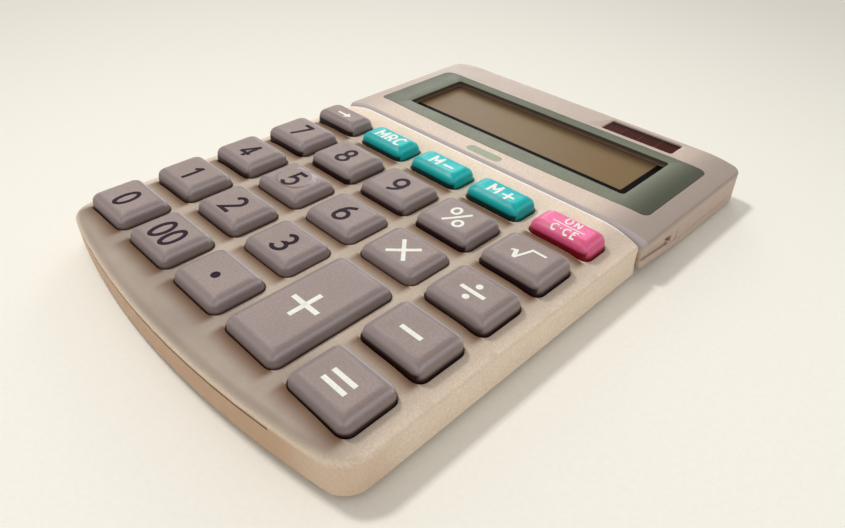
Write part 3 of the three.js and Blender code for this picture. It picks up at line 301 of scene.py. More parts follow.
@dataclass(frozen=True, kw_only=True)
class KeypadPlastic(MouldedPlastic):
    """Body plastic grey on its face towards the front, with painted shade on its right end, its front wall and in the
    groove's slit, a painted brown shadow in front of each key and a painted highlight along its back edge.
    """

    # Grey of the face towards the front; the same colour paints shade on the face's right end.
    greyed_and_shaded: Rgb
    # Colour of the painted brown shadow on the face in front of each key.
    dust: Rgb
    # Colour of the painted highlight along the face's back edge at the seam.
    seam_highlight: Rgb
    # Colour of the painted shade on the front wall.
    front_wall_shade: Rgb
    # Colour of the painted shade inside the groove's slit.
    slit: Rgb
    pitch_x: float = 19.0
    pitch_y: float = 16.15
    first_front: float = -60.5
    half_key: float = 7.75
    key_shadow_reach: float = 4.8
    key_shadow_share: float = 0.95
    key_shadow_zone: Flat = (13.0, 10.0)
    face_zone: Flat = (8.4, 10.3)
    middle_zone: Flat = (18.0, -4.0)
    front_zone: Flat = (-48.0, -63.0)
    right_shade_zone: Flat = (37.0, 47.0)
    seam_zone: Flat = (19.4, 19.9)
    wall_shade_zone: Flat = (9.0, 7.5)
    wall_front_zone: Flat = (-50.0, -59.0)
    wall_across_zone: Flat = (46.0, 34.0)

    def tinted_with_painted_light(self, shader: Shader, coloured: Socket) -> Socket:
        """Greys the face towards the front and paints shade, shadow and highlight on it.

        Args:
            shader: The material under construction.
            coloured: Its clean colour.

        Returns:
            The worn colour.
        """
        x, y, z = (shader.coordinate(axis) for axis in range(3))
        face = shader.zone(z, self.face_zone)
        front = shader.calc("ADD", shader.zone(y, self.middle_zone, 0.58), shader.zone(y, self.front_zone, 0.42))
        # Painted shade on the face's cambered right end.
        front = shader.calc("MAXIMUM", front, shader.zone(x, self.right_shade_zone, 0.5))
        patchy = shader.pattern(70.0, 3.0, used=(0.25, 0.75), becomes=(0.82, 1.0))
        coloured = shader.mix(shader.product(face, front, patchy), coloured, self.greyed_and_shaded)
        # Painted shade on the front wall, weaker towards its ends.
        wall = shader.product(shader.zone(z, self.wall_shade_zone), shader.zone(y, self.wall_front_zone, 0.95),
                              shader.zone(shader.calc("ABSOLUTE", x), self.wall_across_zone, none=0.45))
        coloured = shader.mix(wall, coloured, self.front_wall_shade)
        # Painted shade inside the groove's slit.
        coloured = shader.mix(shader.attribute("slit"), coloured, self.slit)
        # Painted brown shadow on the face in front of each key.
        column = shader.calc("FRACT", shader.calc("ADD", shader.calc("DIVIDE", x, self.pitch_x * MM), 2.5))
        across = shader.calc("ABSOLUTE", shader.calc("SUBTRACT", column, 0.5))
        row = shader.calc("DIVIDE", shader.calc("SUBTRACT", y, self.first_front * MM), self.pitch_y * MM)
        before = shader.span(shader.calc("FRACT", row), 1 - self.key_shadow_reach / self.pitch_y, 1.0)
        key_share = self.half_key / self.pitch_x
        beside = shader.span(across, key_share + 0.05, key_share - 0.04)
        dusty = shader.product(before, beside, shader.zone(y, self.key_shadow_zone), face, self.key_shadow_share)
        # Painted highlight along the face's back edge at the seam.
        seam_highlight = shader.product(shader.zone(y, self.seam_zone), face)
        return shader.mix(seam_highlight, shader.mix(dusty, coloured, self.dust), self.seam_highlight)


@dataclass(frozen=True, kw_only=True)
class HeadPlastic(MouldedPlastic):
    """Head plastic greyer along the strip behind the bezel, with painted shade at its two ends, on its side walls and
    on the rounding along the seam.
    """

    # Grey of the strip along the back; the same colour paints shade at the two ends.
    greyed_and_shaded: Rgb
    # Colour of the painted shade on the rounding along the seam.
    seam_shade: Rgb = (0.46, 0.41, 0.42)
    # Colour of the painted shade on the side walls.
    wall: Rgb = (0.4, 0.3, 0.22)
    face_zone: Flat = (6.5, 9.0)
    right_shade_zone: Flat = (30.0, 47.0)
    left_shade_zone: Flat = (-36.0, -48.0)
    back_zone: Flat = (54.0, 61.0)
    seam_zone: Flat = (22.2, 21.7)
    wall_shade_zone: Flat = (8.8, 6.5)

    def tinted_with_painted_light(self, shader: Shader, coloured: Socket) -> Socket:
        """Paints shade on the ends, the side walls and the rounding along the seam, and greys the strip along the back.

        Args:
            shader: The material under construction.
            coloured: Its clean colour.

        Returns:
            The worn colour.
        """
        x, y, z = (shader.coordinate(axis) for axis in range(3))
        face = shader.zone(z, self.face_zone)
        # Painted shade at both ends, and a greyer strip along the back.
        greyed_and_shaded = shader.calc("MAXIMUM", shader.zone(x, self.right_shade_zone), shader.zone(x, self.left_shade_zone, 0.6))
        greyed_and_shaded = shader.calc("MAXIMUM", greyed_and_shaded, shader.zone(y, self.back_zone, 0.55))
        # Painted shade on the side walls.
        coloured = shader.mix(shader.zone(z, self.wall_shade_zone, 0.6), coloured, self.wall)
        coloured = shader.mix(shader.product(greyed_and_shaded, face), coloured, self.greyed_and_shaded)
        # Painted shade on the rounding along the seam.
        return shader.mix(shader.product(shader.zone(y, self.seam_zone, 0.9), face), coloured, self.seam_shade)


@dataclass(frozen=True)
class WindowLining(Finish):
    """Dark plastic with painted shade: darkest at the top of a window's walls, fading to brown towards their foot."""

    lower: Rgb
    heights: Flat

    def paint(self, shader: Shader) -> None:
        """Sets up the shader.

        Args:
            shader: The material under construction.
        """
        # Painted shade, darker higher up the walls.
        coloured = shader.mix(shader.zone(shader.coordinate(2), self.heights), self.lower, self.colour)
        coloured = shader.mix(shader.pattern(800.0, 3.0, becomes=(0.0, 0.25)), coloured, lighter(self.colour, 0.8))
        shader.done(coloured, 0.6, shader.noise(2200.0), 0.00001)


@dataclass(frozen=True)
class PrintedInk(Finish):
    """Screen-printed ink with a slightly uneven film."""

    specular: float = 0.12

    def paint(self, shader: Shader) -> None:
        """Sets up the shader.

        Args:
            shader: The material under construction.
        """
        thin = shader.pattern(1800.0, used=(0.35, 0.7))
        coloured = shader.mix(thin, lighter(self.colour, 0.95), lighter(self.colour, 1.04))
        shader.done(coloured, 0.55, shader.noise(2400.0), 0.000008, self.specular)


@dataclass(frozen=True)
class DisplayGlass(Finish):
    """Unlit liquid crystal glass over its reflector, with painted shadow of the window's walls along its left and back
    sides.
    """

    shaded: Rgb
    left: float
    back: float
    shade: float = 6.0

    def paint(self, shader: Shader) -> None:
        """Sets up the shader.

        Args:
            shader: The material under construction.
        """
        coloured = shader.mix(shader.pattern(900.0, 3.0, becomes=(0.0, 0.22)), self.colour, lighter(self.colour, 0.84))
        # Painted shadow of the window's walls along the left and back sides.
        across = shader.zone(shader.coordinate(0), (self.left, self.left + self.shade), 0.0, 1.0)
        along = shader.zone(shader.coordinate(1), (self.back - self.shade, self.back))
        coloured = shader.mix(along, shader.mix(across, coloured, self.shaded), self.shaded)
        shader.done(coloured, 0.4, shader.noise(700.0), 0.000003, 0.08)


@dataclass(frozen=True)
class CellGlass(Finish):
    """Dark red brown solar cell behind its clear cover, with painted shadow of the window's back wall along the back.
    """

    shaded: Rgb
    back_zone: Flat

    def paint(self, shader: Shader) -> None:
        """Sets up the shader.

        Args:
            shader: The material under construction.
        """
        coloured = shader.mix(shader.pattern(400.0, 3.0), self.colour, lighter(self.colour, 0.8))
        # Painted shadow of the window's back wall along the back.
        coloured = shader.mix(shader.zone(shader.coordinate(1), self.back_zone), coloured, self.shaded)
        shader.done(coloured, 0.35, shader.noise(1200.0), 0.000003, 0.03)


@dataclass(frozen=True)
class BareMetal(Finish):
    """Metal with fine drawing lines and a little tarnish."""

    roughness: float = 0.32

    def paint(self, shader: Shader) -> None:
        """Sets up the shader.

        Args:
            shader: The material under construction.
        """
        stretched = shader.node("ShaderNodeMapping", {0: shader.place, 3: (1.0, 1.0, 12.0)}).outputs[0]
        lines = shader.node("ShaderNodeTexNoise", {"Vector": stretched, "Scale": 900.0, "Detail": 3.0}).outputs[0]
        tarnish = shader.pattern(350.0, 4.0, used=(0.45, 0.75))
        coloured = shader.mix(tarnish, self.colour, lighter(self.colour, 0.6))
        rough = shader.span(lines, 0.3, 0.7, self.roughness - 0.1, self.roughness + 0.12)
        shader.done(coloured, rough, lines, 0.000006, metallic=1.0)


@dataclass(frozen=True)
class SoftRubber(Finish):
    """Silicone or foot rubber with dust in its pores."""

    dust: Rgb

    def paint(self, shader: Shader) -> None:
        """Sets up the shader."""
        dusty = shader.pattern(600.0, 4.0, 0.65, (0.5, 0.8), (0.0, 0.5))
        shader.done(shader.mix(dusty, self.colour, self.dust), 0.85, shader.noise(1500.0, 3.0), 0.00003)


@dataclass(frozen=True)
class BoardLaminate(Finish):
    """Circuit board with solder resist over faint tracks."""

    track: Rgb

    def paint(self, shader: Shader) -> None:
        """Sets up the shader.

        Args:
            shader: The material under construction.
        """
        values = {"Vector": shader.place, "Scale": 190.0, "Distortion": 6.0, "Detail": 1.0, "Detail Scale": 0.6}
        wave = shader.node("ShaderNodeTexWave", values, wave_type="BANDS", bands_direction="X").outputs["Fac"]
        tracks = shader.span(wave, 0.6, 0.72)
        shader.done(shader.mix(tracks, self.colour, self.track), 0.4, tracks, 0.00003)


@dataclass(frozen=True)
class TableTop(Finish):
    """Pale matt paper under the object, darker away from its middle as a painted falloff of light, which glows a little
    far away so that it meets the background.
    """

    outer: Rgb
    middle: Solid = (0.06, -0.05, 0.0)
    near: Flat = (0.05, 0.4)
    far: Flat = (0.3, 0.8)
    glow: float = 0.38

    def paint(self, shader: Shader) -> None:
        """Sets up the shader.

        Args:
            shader: The material under construction.
        """
        distance = shader.node("ShaderNodeVectorMath", {0: shader.place, 1: self.middle}, operation="DISTANCE")
        away = distance.outputs["Value"]
        # Painted falloff of light: the paper darkens away from its middle.
        paper = shader.mix(shader.span(away, *self.near), self.colour, self.outer)
        fibre, cloud = shader.pattern(900.0, 4.0, 0.6), shader.pattern(3.0)
        for share, darker in ((shader.product(fibre, 0.12), 0.8), (shader.product(cloud, 0.1), 0.82)):
            paper = shader.mix(share, paper, lighter(self.colour, darker))
        shader.fill(shader.surface, {"Emission Color": (*BACKGROUND, 1.0),
                                     "Emission Strength": shader.span(away, *self.far, 0.0, self.glow)})
        shader.done(paper, 0.9, shader.noise(1400.0, 3.0), 0.00002, 0.15)


class Finishes:
    """All the finishes of the object, each made once."""

    def __init__(self) -> None:
        """Makes every material."""
        makers = {
            # Body: greyer face towards the front, painted shade on its right end, front wall and slit, painted brown
            # shadow before the keys and a painted highlight along the seam edge.
            "body_plastic": KeypadPlastic(
                "ivory_plastic", tone(240, 221, 200), 0.55, greyed_and_shaded=tone(160, 145, 133), dust=tone(112, 76, 48),
                seam_highlight=tone(252, 246, 238), front_wall_shade=tone(198, 164, 134), slit=tone(46, 32, 26)),
            # Head: painted shade at its ends, on its side walls and along the seam; greyer along its back.
            "head_plastic": HeadPlastic("rosy_ivory_plastic", tone(230, 210, 194), 0.55,
                                        greyed_and_shaded=tone(168, 153, 144), wall=tone(176, 153, 141)),
            "base_plastic": MouldedPlastic("base_ivory_plastic", tone(214, 192, 168), 0.6),
            # Key caps: painted shade at the foot and on the slopes, painted highlight on the rim.
            "grey_key": MouldedPlastic("grey_key_plastic", tone(162, 145, 141), 0.5, foot_shade_colour=tone(34, 12, 18),
                                       rim_highlight_colour=tone(212, 206, 216), slope_shade_colour=tone(124, 111, 110)),
            "teal_key": MouldedPlastic("teal_key_plastic", tone(0, 200, 200), 0.4, foot_shade_colour=tone(0, 44, 42),
                                       rim_highlight_colour=tone(110, 232, 232), slope_shade_colour=tone(0, 150, 150)),
            "pink_key": MouldedPlastic("pink_key_plastic", tone(252, 124, 172), 0.4, foot_shade_colour=tone(124, 2, 24),
                                       rim_highlight_colour=tone(250, 170, 206), slope_shade_colour=tone(196, 44, 92)),
            # Bezel: painted shade at its two ends, greyer along its back.
            "bezel_plastic": HeadPlastic("grey_green_plastic", tone(130, 134, 117), 0.55, specular=0.1,
                                         greyed_and_shaded=tone(80, 82, 71), right_shade_zone=(35.0, 45.0)),
            "black_plastic": MouldedPlastic("black_plastic", tone(22, 18, 17), 0.4),
            # Window walls: painted shade, darker towards their top.
            "frame_plastic": WindowLining("window_lining", tone(52, 36, 28), tone(112, 90, 68), (9.1, 10.3)),
            # Display glass: painted shadow along its left and back sides.
            "display_glass": DisplayGlass("display_glass", tone(128, 104, 70), tone(84, 64, 46), -38.0, 55.8),
            # Solar cell: painted shadow along its back.
            "solar_glass": CellGlass("solar_cell_glass", tone(70, 20, 14), tone(40, 12, 10), (64.2, 66.8)),
            "board_laminate": BoardLaminate("board_laminate", tone(40, 96, 58), tone(66, 128, 78)),
            "soft_rubber": SoftRubber("silicone_rubber", tone(150, 150, 145), tone(176, 174, 168)),
            "foot_rubber": SoftRubber("foot_rubber", tone(44, 42, 41), tone(92, 88, 82)),
            "steel": BareMetal("plain_steel", tone(196, 198, 202)),
            "brass": BareMetal("spring_brass", tone(206, 172, 96)),
            "ribbon_film": MouldedPlastic("polyimide_film", tone(196, 134, 62), 0.3, 0.000004),
            "dark_ink": PrintedInk("dark_ink", tone(34, 12, 34)),
            "white_ink": PrintedInk("white_ink", tone(244, 244, 236)),
            "mask_paint": PrintedInk("mask_paint", tone(9, 7, 6), 0.02),
            "badge_paint": PrintedInk("badge_paint", tone(168, 176, 152)),
            # Table: painted falloff of light towards its outer part.
            "table": TableTop("table_paper", tone(253, 250, 240), tone(206, 202, 193)),
        }
        self.materials = {name: maker.build() for name, maker in makers.items()}

    def __getitem__(self, name: str) -> Material:
        """The material of that name."""
        return self.materials[name]


# Meshes

def object_of(name: str, mesh: bpy.types.Mesh) -> Piece:
    """Puts a mesh into the scene as an object at the origin.

    Args:
        name: Name of the object.
        mesh: Its mesh.

    Returns:
        The object.
    """
    made = bpy.data.objects.new(name, mesh)
    bpy.context.scene.collection.objects.link(made)
    return made


def closed_mesh(name: str, made: bmesh.types.BMesh) -> Piece:
    """Finishes a mesh under construction: faces out, and millimetres to metres.

    Args:
        name: Name of the object.
        made: The mesh in millimetres, which is freed.

    Returns:
        The object.
    """
    bmesh.ops.recalc_face_normals(made, faces=made.faces)
    bmesh.ops.scale(made, vec=(MM, MM, MM), verts=made.verts)
    mesh = bpy.data.meshes.new(name)
    made.to_mesh(mesh)
    made.free()
    return object_of(name, mesh)


def loft(name: str, rings: list[Ring], middle: Solid | None = None) -> Piece:
    """Closed solid through rings of matching points.

    Args:
        name: Name of the object.
        rings: Rings of points in millimetres.
        middle: Point that closes the last ring as a fan, in place of a flat face.

    Returns:
        The object.
    """
    made = bmesh.new()
    rows = [[made.verts.new(point) for point in ring] for ring in rings]
    count = len(rows[0])
    for lower, upper in zip(rows, rows[1:]):
        for i in range(count):
            j = (i + 1) % count
            made.faces.new((lower[i], lower[j], upper[j], upper[i]))
    made.faces.new(rows[0])
    if middle is None:
        made.faces.new(rows[-1])
    else:
        top = made.verts.new(middle)
        for i in range(count):
            made.faces.new((rows[-1][i], rows[-1][(i + 1) % count], top))
    return closed_mesh(name, made)


def level(outline: list[Flat], height: float) -> Ring:
    """An outline in the XY plane as a ring at a height."""
    return [(x, y, height) for x, y in outline]


def prism_up(name: str, outline: list[Flat], bottom: float, top: float) -> Piece:
    """Prism of an outline in the XY plane between two heights."""
    return loft(name, [level(outline, z) for z in (bottom, top)])


def prism_across(name: str, outline: list[Flat], left: float, right: float) -> Piece:
    """Prism of an outline in the YZ plane between two places across the object."""
    return loft(name, [[(x, y, z) for y, z in outline] for x in (left, right)])


def block(name: str, across: Flat, along: Flat, upright: Flat) -> Piece:
    """Box between its two ends on each axis."""
    (front, back), (low, high) = along, upright
    return prism_across(name, [(front, low), (back, low), (back, high), (front, high)], *across)


def on_side(side: int, first: float, second: float) -> Flat:
    """Left and right end of what lies between two distances on one side of the middle."""
    return min(side * first, side * second), max(side * first, side * second)


def turned(name: str, profile: list[Flat], centre: Flat, sides: int = 32) -> Piece:
    """Solid of revolution about an upright axis.

    Args:
        name: Name of the object.
        profile: Pairs of radius and height, from the foot to the top.
        centre: Place of the axis.
        sides: Number of sides.

    Returns:
        The object.
    """
    x, y = centre
    turns = [2 * math.pi * i / sides for i in range(sides)]
    return loft(name, [[(x + radius * math.cos(turn), y + radius * math.sin(turn), height) for turn in turns]
                       for radius, height in profile])


def drum(name: str, centre: Flat, radius: float, ends: Flat, sides: int = 32) -> Piece:
    """Upright cylinder between two heights."""
    return turned(name, [(radius, height) for height in ends], centre, sides)


def oval(x: float, y: float, half_x: float, half_y: float, start: float = 0.0, end: float = 360.0,
         steps: int = 20) -> tuple[Flat, ...]:
    """Points along an oval, from one angle in degrees to another, without the last of a full turn."""
    angles = [math.radians(start + (end - start) * i / steps) for i in range(steps + (abs(end - start) < 360))]
    return tuple((x + half_x * math.cos(angle), y + half_y * math.sin(angle)) for angle in angles)


def arc(centre: Flat, radius: float, start: float, end: float, steps: int) -> list[Flat]:
    """Points along an arc, from one angle in degrees to another."""
    return list(oval(*centre, radius, radius, start, end, steps))


def rounded_box(centre: Flat, width: float, length: float, radius: float, steps: int = 8) -> list[Flat]:
    """Outline of a rectangle with round corners.

    Args:
        centre: Its middle.
        width: Its size in X.
        length: Its size in Y.
        radius: Radius of its corners.
        steps: Steps in a corner.

    Returns:
        The points.
    """
    radius = min(radius, 0.49 * width, 0.49 * length)
    x, y = width / 2 - radius, length / 2 - radius
    return [
        point
        for sign_x, sign_y, start in ((1, 1, 0), (-1, 1, 90), (-1, -1, 180), (1, -1, 270))
        for point in arc((centre[0] + sign_x * x, centre[1] + sign_y * y), radius, start, start + 90, steps)
    ]


def bake(piece: Piece) -> None:
    """Turns a piece's modifiers into plain mesh.

    Args:
        piece: The piece.
    """
    graph = bpy.context.evaluated_depsgraph_get()
    mesh = bpy.data.meshes.new_from_object(piece.evaluated_get(graph))
    piece.modifiers.clear()
    piece.data = mesh


def carve(piece: Piece, cutters: list[Piece], operation: str = "DIFFERENCE") -> None:
    """Cuts solids out of a piece, adds them to it, or keeps what they share.

    Args:
        piece: Piece to change.
        cutters: Solids, which are removed afterwards.
        operation: DIFFERENCE, UNION or INTERSECT.
    """
    pile = bpy.data.collections.new("cutters")
    bpy.context.scene.collection.children.link(pile)
    for cutter in cutters:
        pile.objects.link(cutter)
    modifier = piece.modifiers.new("carve", "BOOLEAN")
    modifier.operation = operation
    modifier.solver = "EXACT"
    modifier.operand_type = "COLLECTION"
    modifier.collection = pile
    bake(piece)
    for cutter in cutters:
        bpy.data.objects.remove(cutter)
    bpy.data.collections.remove(pile)


def smooth(piece: Piece, angle: float = 30.0) -> None:
    """Shades a piece smooth but for its edges sharper than an angle in degrees."""
    piece.data.shade_smooth()
    piece.data.set_sharp_from_angle(angle=math.radians(angle))


def dress(piece: Piece, finishes: Finishes, body: str, slot: str, *replaced: str, finish: str = "") -> None:
    """Gives a piece its material, puts it on its body and hides the nodes that it stands for.

    Args:
        piece: Finished piece.
        finishes: The finishes of the object.
        body: Body that carries it.
        slot: The record's material slot.
        replaced: Nodes that it stands for.
        finish: Name of its finish, where that isn't the slot's.
    """
    piece.data.materials.clear()
    piece.data.materials.append(finishes[finish or slot])
    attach(piece, body)
    if replaced:
        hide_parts(*replaced)
    LOG.info("piece %s: %d faces on %s", piece.name, len(piece.data.polygons), body)


# Shared sizes

@dataclass(frozen=True)
class Casing:
    """Outside sizes that the keypad body, the keys and the display head share."""

    front: float = -69.4
    back: float = 69.4
    face: float = 10.7
    body_half: float = 50.0
    head_half: float = 50.8
    draft: float = 0.03
    body_stand: float = 1.4
    head_stand: float = 0.7
    pivot_y: float = 32.6
    pivot_z: float = 5.3
    barrel: float = 12.3
    hollow: float = 12.9
    bow_radius: float = 233.0
    body_camber_start: float = 39.0
    body_camber_radius: float = 31.0
    head_camber_start: float = 40.0
    head_camber_radius: float = 39.0
    ramp_rise: float = 2.1
    ramp_end: float = 40.6
    parting: float = 2.1
    arm: Flat = (43.3, 46.5)
    ribbon: Flat = (-6.3, 6.3)
    ribbon_low: float = 2.9

    def bow(self, x: float) -> float:
        """How far the front wall lies behind its middle at a place across."""
        return self.bow_radius - math.sqrt(self.bow_radius ** 2 - x * x)

    def barrel_y(self, z: float, radius: float) -> float:
        """Where a barrel about the hinge axis stands at a height."""
        return self.pivot_y - math.sqrt(max(0.0, radius ** 2 - (z - self.pivot_z) ** 2))

    def ramp(self, y: float) -> float:
        """Height of the head's lower edge."""
        share = max(0.0, self.ramp_end - y) / (self.ramp_end - self.pivot_y + self.barrel)
        return self.head_stand + self.ramp_rise * share

    def body_top(self, x: float) -> float:
        """Height of the keypad's face at a place across."""
        return self.face - camber(x, self.body_camber_start, self.body_camber_radius)

    def head_top(self, x: float) -> float:
        """Height of the head's face at a place across."""
        return self.face - camber(x, self.head_camber_start, self.head_camber_radius)


def camber(x: float, start: float, radius: float) -> float:
    """How far a face that rounds off from a start has dropped at a place across."""
    past = max(0.0, abs(x) - start)
    return radius - math.sqrt(max(0.0, radius ** 2 - past ** 2))


def draw_in(x: float, half: float, radius: float) -> float:
    """How far a round corner draws an edge in at a place across."""
    return camber(x, half - radius, radius)


def places_across(half: float, camber_start: float, corner: float, edge: float) -> list[float]:
    """Places across a casing where its section is drawn, closer where it bends.

    Args:
        half: Half width.
        camber_start: Where the face begins to round off.
        corner: Radius of the plan corners.
        edge: Radius of the rounding along the side's top edge.

    Returns:
        The places from left to right.
    """
    right = [camber_start * i / 6 for i in range(7)] + [camber_start - 0.5]
    if half - corner > camber_start:
        right += [camber_start + (half - corner - camber_start) * i / 4 for i in range(1, 5)]
    start = max(right)
    right += [start + (half - start) * math.sin(math.pi / 2 * i / 10) for i in range(1, 11)]
    right += [half - edge * (1 - math.sin(math.pi / 2 * i / 6)) for i in range(6)]
    right = sorted({round(value, 4) for value in right})
    return [-value for value in reversed(right[1:])] + right


def spread(points: list[Flat], x: float, half: float, casing: Casing) -> Ring:
    """Places a section across the casing, wider towards its foot by the walls' draft."""
    return [(x * (1 + casing.draft * (casing.face - z) / half), y, z) for y, z in points]


# Keys

@dataclass(frozen=True)
class Stroke:
    """A line of ink along points in millimetres from a key's middle."""

    points: tuple[Flat, ...]
    width: float
    closed: bool = False

    def strip(self, made: bmesh.types.BMesh) -> None:
        """Adds the line to a mesh as a strip of faces with mitred joints.

        Args:
            made: The mesh.
        """
        points = [Vector(point) for point in self.points]
        count = len(points)
        left, right = [], []
        for i, point in enumerate(points):
            ways = []
            if i > 0 or self.closed:
                ways.append((point - points[i - 1]).normalized())
            if i < count - 1 or self.closed:
                ways.append((points[(i + 1) % count] - point).normalized())
            along = sum(ways, Vector((0.0, 0.0))).normalized()
            across = Vector((-along.y, along.x))
            reach = self.width / 2 / max(0.45, across.dot(Vector((-ways[0].y, ways[0].x))))
            left.append(made.verts.new((*(point + across * reach), 0.0)))
            right.append(made.verts.new((*(point - across * reach), 0.0)))
        for i in range(count if self.closed else count - 1):
            j = (i + 1) % count
            made.faces.new((left[i], right[i], right[j], left[j]))


@dataclass(frozen=True)
class Patch:
    """A filled shape of ink in millimetres from a key's middle."""

    points: tuple[Flat, ...]

    def strip(self, made: bmesh.types.BMesh) -> None:
        """Adds the shape to a mesh."""
        made.faces.new([made.verts.new((x, y, 0.0)) for x, y in self.points])


def mirrored(points: tuple[Flat, ...]) -> tuple[Flat, ...]:
    """Points turned by half a turn about the origin."""
    return tuple((-x, -y) for x, y in points)


HOOK: tuple[Flat, ...] = ((-0.27, -0.2), (-0.262, 0.0), (-0.2, 0.21), (-0.08, 0.37), (0.1, 0.48), (0.17, 0.5))


@dataclass(frozen=True)
class Glyph:
    """Middle lines of a letter of height 1: its width, its open lines and its closed ones."""

    width: float
    lines: tuple[tuple[Flat, ...], ...] = ()
    rings: tuple[tuple[Flat, ...], ...] = ()


GLYPHS: dict[str, Glyph] = {
    "0": Glyph(0.52, rings=(oval(0, 0, 0.26, 0.5, steps=28),)),
    "1": Glyph(0.3, (((0.08, -0.5), (0.08, 0.56)), ((0.1, 0.5), (-0.17, 0.27)))),
    "2": Glyph(0.54, ((*oval(-0.01, 0.23, 0.26, 0.27, 165, -28), (-0.27, -0.5), (0.28, -0.5)),)),
    "3": Glyph(0.52, ((*oval(-0.02, 0.25, 0.24, 0.25, 150, -90), *oval(-0.02, -0.24, 0.28, 0.26, 84, -155)),)),
    "4": Glyph(0.6, (((0.13, -0.5), (0.13, 0.56)), ((0.13, 0.5), (-0.26, -0.2)), ((-0.33, -0.22), (0.32, -0.22)))),
    "5": Glyph(0.54, (((0.24, 0.5), (-0.17, 0.5), (-0.22, 0.05), *oval(-0.02, -0.18, 0.29, 0.32, 122, -148)),)),
    "6": Glyph(0.54, (HOOK,), (oval(0, -0.2, 0.27, 0.3, steps=24),)),
    "7": Glyph(0.56, (((-0.28, 0.5), (0.3, 0.5)), ((0.25, 0.56), (-0.12, -0.52)))),
    "8": Glyph(0.54, rings=(oval(0, 0.26, 0.215, 0.24), oval(0, -0.24, 0.27, 0.26))),
    "9": Glyph(0.54, (mirrored(HOOK),), (oval(0, 0.2, 0.27, 0.3, steps=24),)),
    "M": Glyph(0.72, (((-0.34, -0.5), (-0.34, 0.56)), ((-0.36, 0.5), (0.0, -0.16)), ((0.0, -0.16), (0.36, 0.5)),
                      ((0.34, -0.5), (0.34, 0.56)))),
    "R": Glyph(0.5, (((-0.24, -0.5), (-0.24, 0.5)), ((0.02, -0.03), (0.25, -0.5)),
                     ((-0.24, 0.47), *oval(0.0, 0.22, 0.24, 0.25, 80, -80, 8), (-0.24, -0.03)))),
    "C": Glyph(0.62, (oval(0.04, 0, 0.34, 0.5, 48, 312),)),
    "O": Glyph(0.72, rings=(oval(0, 0, 0.35, 0.5, steps=24),)),
    "N": Glyph(0.6, (((-0.29, -0.5), (-0.29, 0.54)), ((-0.29, 0.48), (0.29, -0.48)), ((0.29, -0.54), (0.29, 0.5)))),
    "E": Glyph(0.46, (((0.23, 0.5), (-0.23, 0.5), (-0.23, -0.5), (0.23, -0.5)), ((-0.23, 0.0), (0.18, 0.0)))),
    "·": Glyph(0.1, (((-0.09, 0.0), (0.09, 0.0)),)),
}


def lettering(text: str, x: float, y: float, height: float, width: float, gap: float) -> tuple[Stroke, ...]:
    """Strokes of a word about a centre.

    Args:
        text: The word.
        x: Its centre across the key.
        y: Its centre along the key.
        height: Its full height.
        width: Width of its strokes.
        gap: Distance between the middle lines of neighbouring letters.

    Returns:
        The strokes.
    """
    scale = height - width
    glyphs = [GLYPHS[letter] for letter in text]
    place = x - (sum(glyph.width for glyph in glyphs) * scale + gap * (len(text) - 1)) / 2
    strokes: list[Stroke] = []
    for glyph in glyphs:
        middle = place + glyph.width * scale / 2
        for closed, paths in ((False, glyph.lines), (True, glyph.rings)):
            strokes += [Stroke(tuple((middle + a * scale, y + b * scale) for a, b in points), width, closed)
                        for points in paths]
        place += glyph.width * scale + gap
    return tuple(strokes)


@dataclass(frozen=True)
class Legend:
    """What is printed on a key."""

    shapes: tuple[Stroke | Patch, ...]
    ink: Ink = Ink.WHITE


def line(width: float, *points: Flat) -> Stroke:
    """A straight or bent line of ink."""
    return Stroke(points, width)


@dataclass(frozen=True)
class KeySpec:
    """One key: its node, its place in the grid, its colour, legend and how high it stands."""

    node: str
    column: float
    row: float
    legend: Legend
    rise_share: float
    colour: CapColour = CapColour.GREY
    # How high the painted shade at the cap's foot reaches, as a share.
    skirt: float = 1.0
    touched: bool = False


def figure(text: str, column: float, row: float, rise_share: float, skirt: float, touched: bool = False) -> KeySpec:
    """Key of a figure, which is printed in dark ink."""
    legend = Legend(lettering(text, 0.0, 0.0, 6.7, 1.0, 1.35), Ink.DARK)
    return KeySpec(f"key_{text}", column, row, legend, rise_share, skirt=skirt, touched=touched)


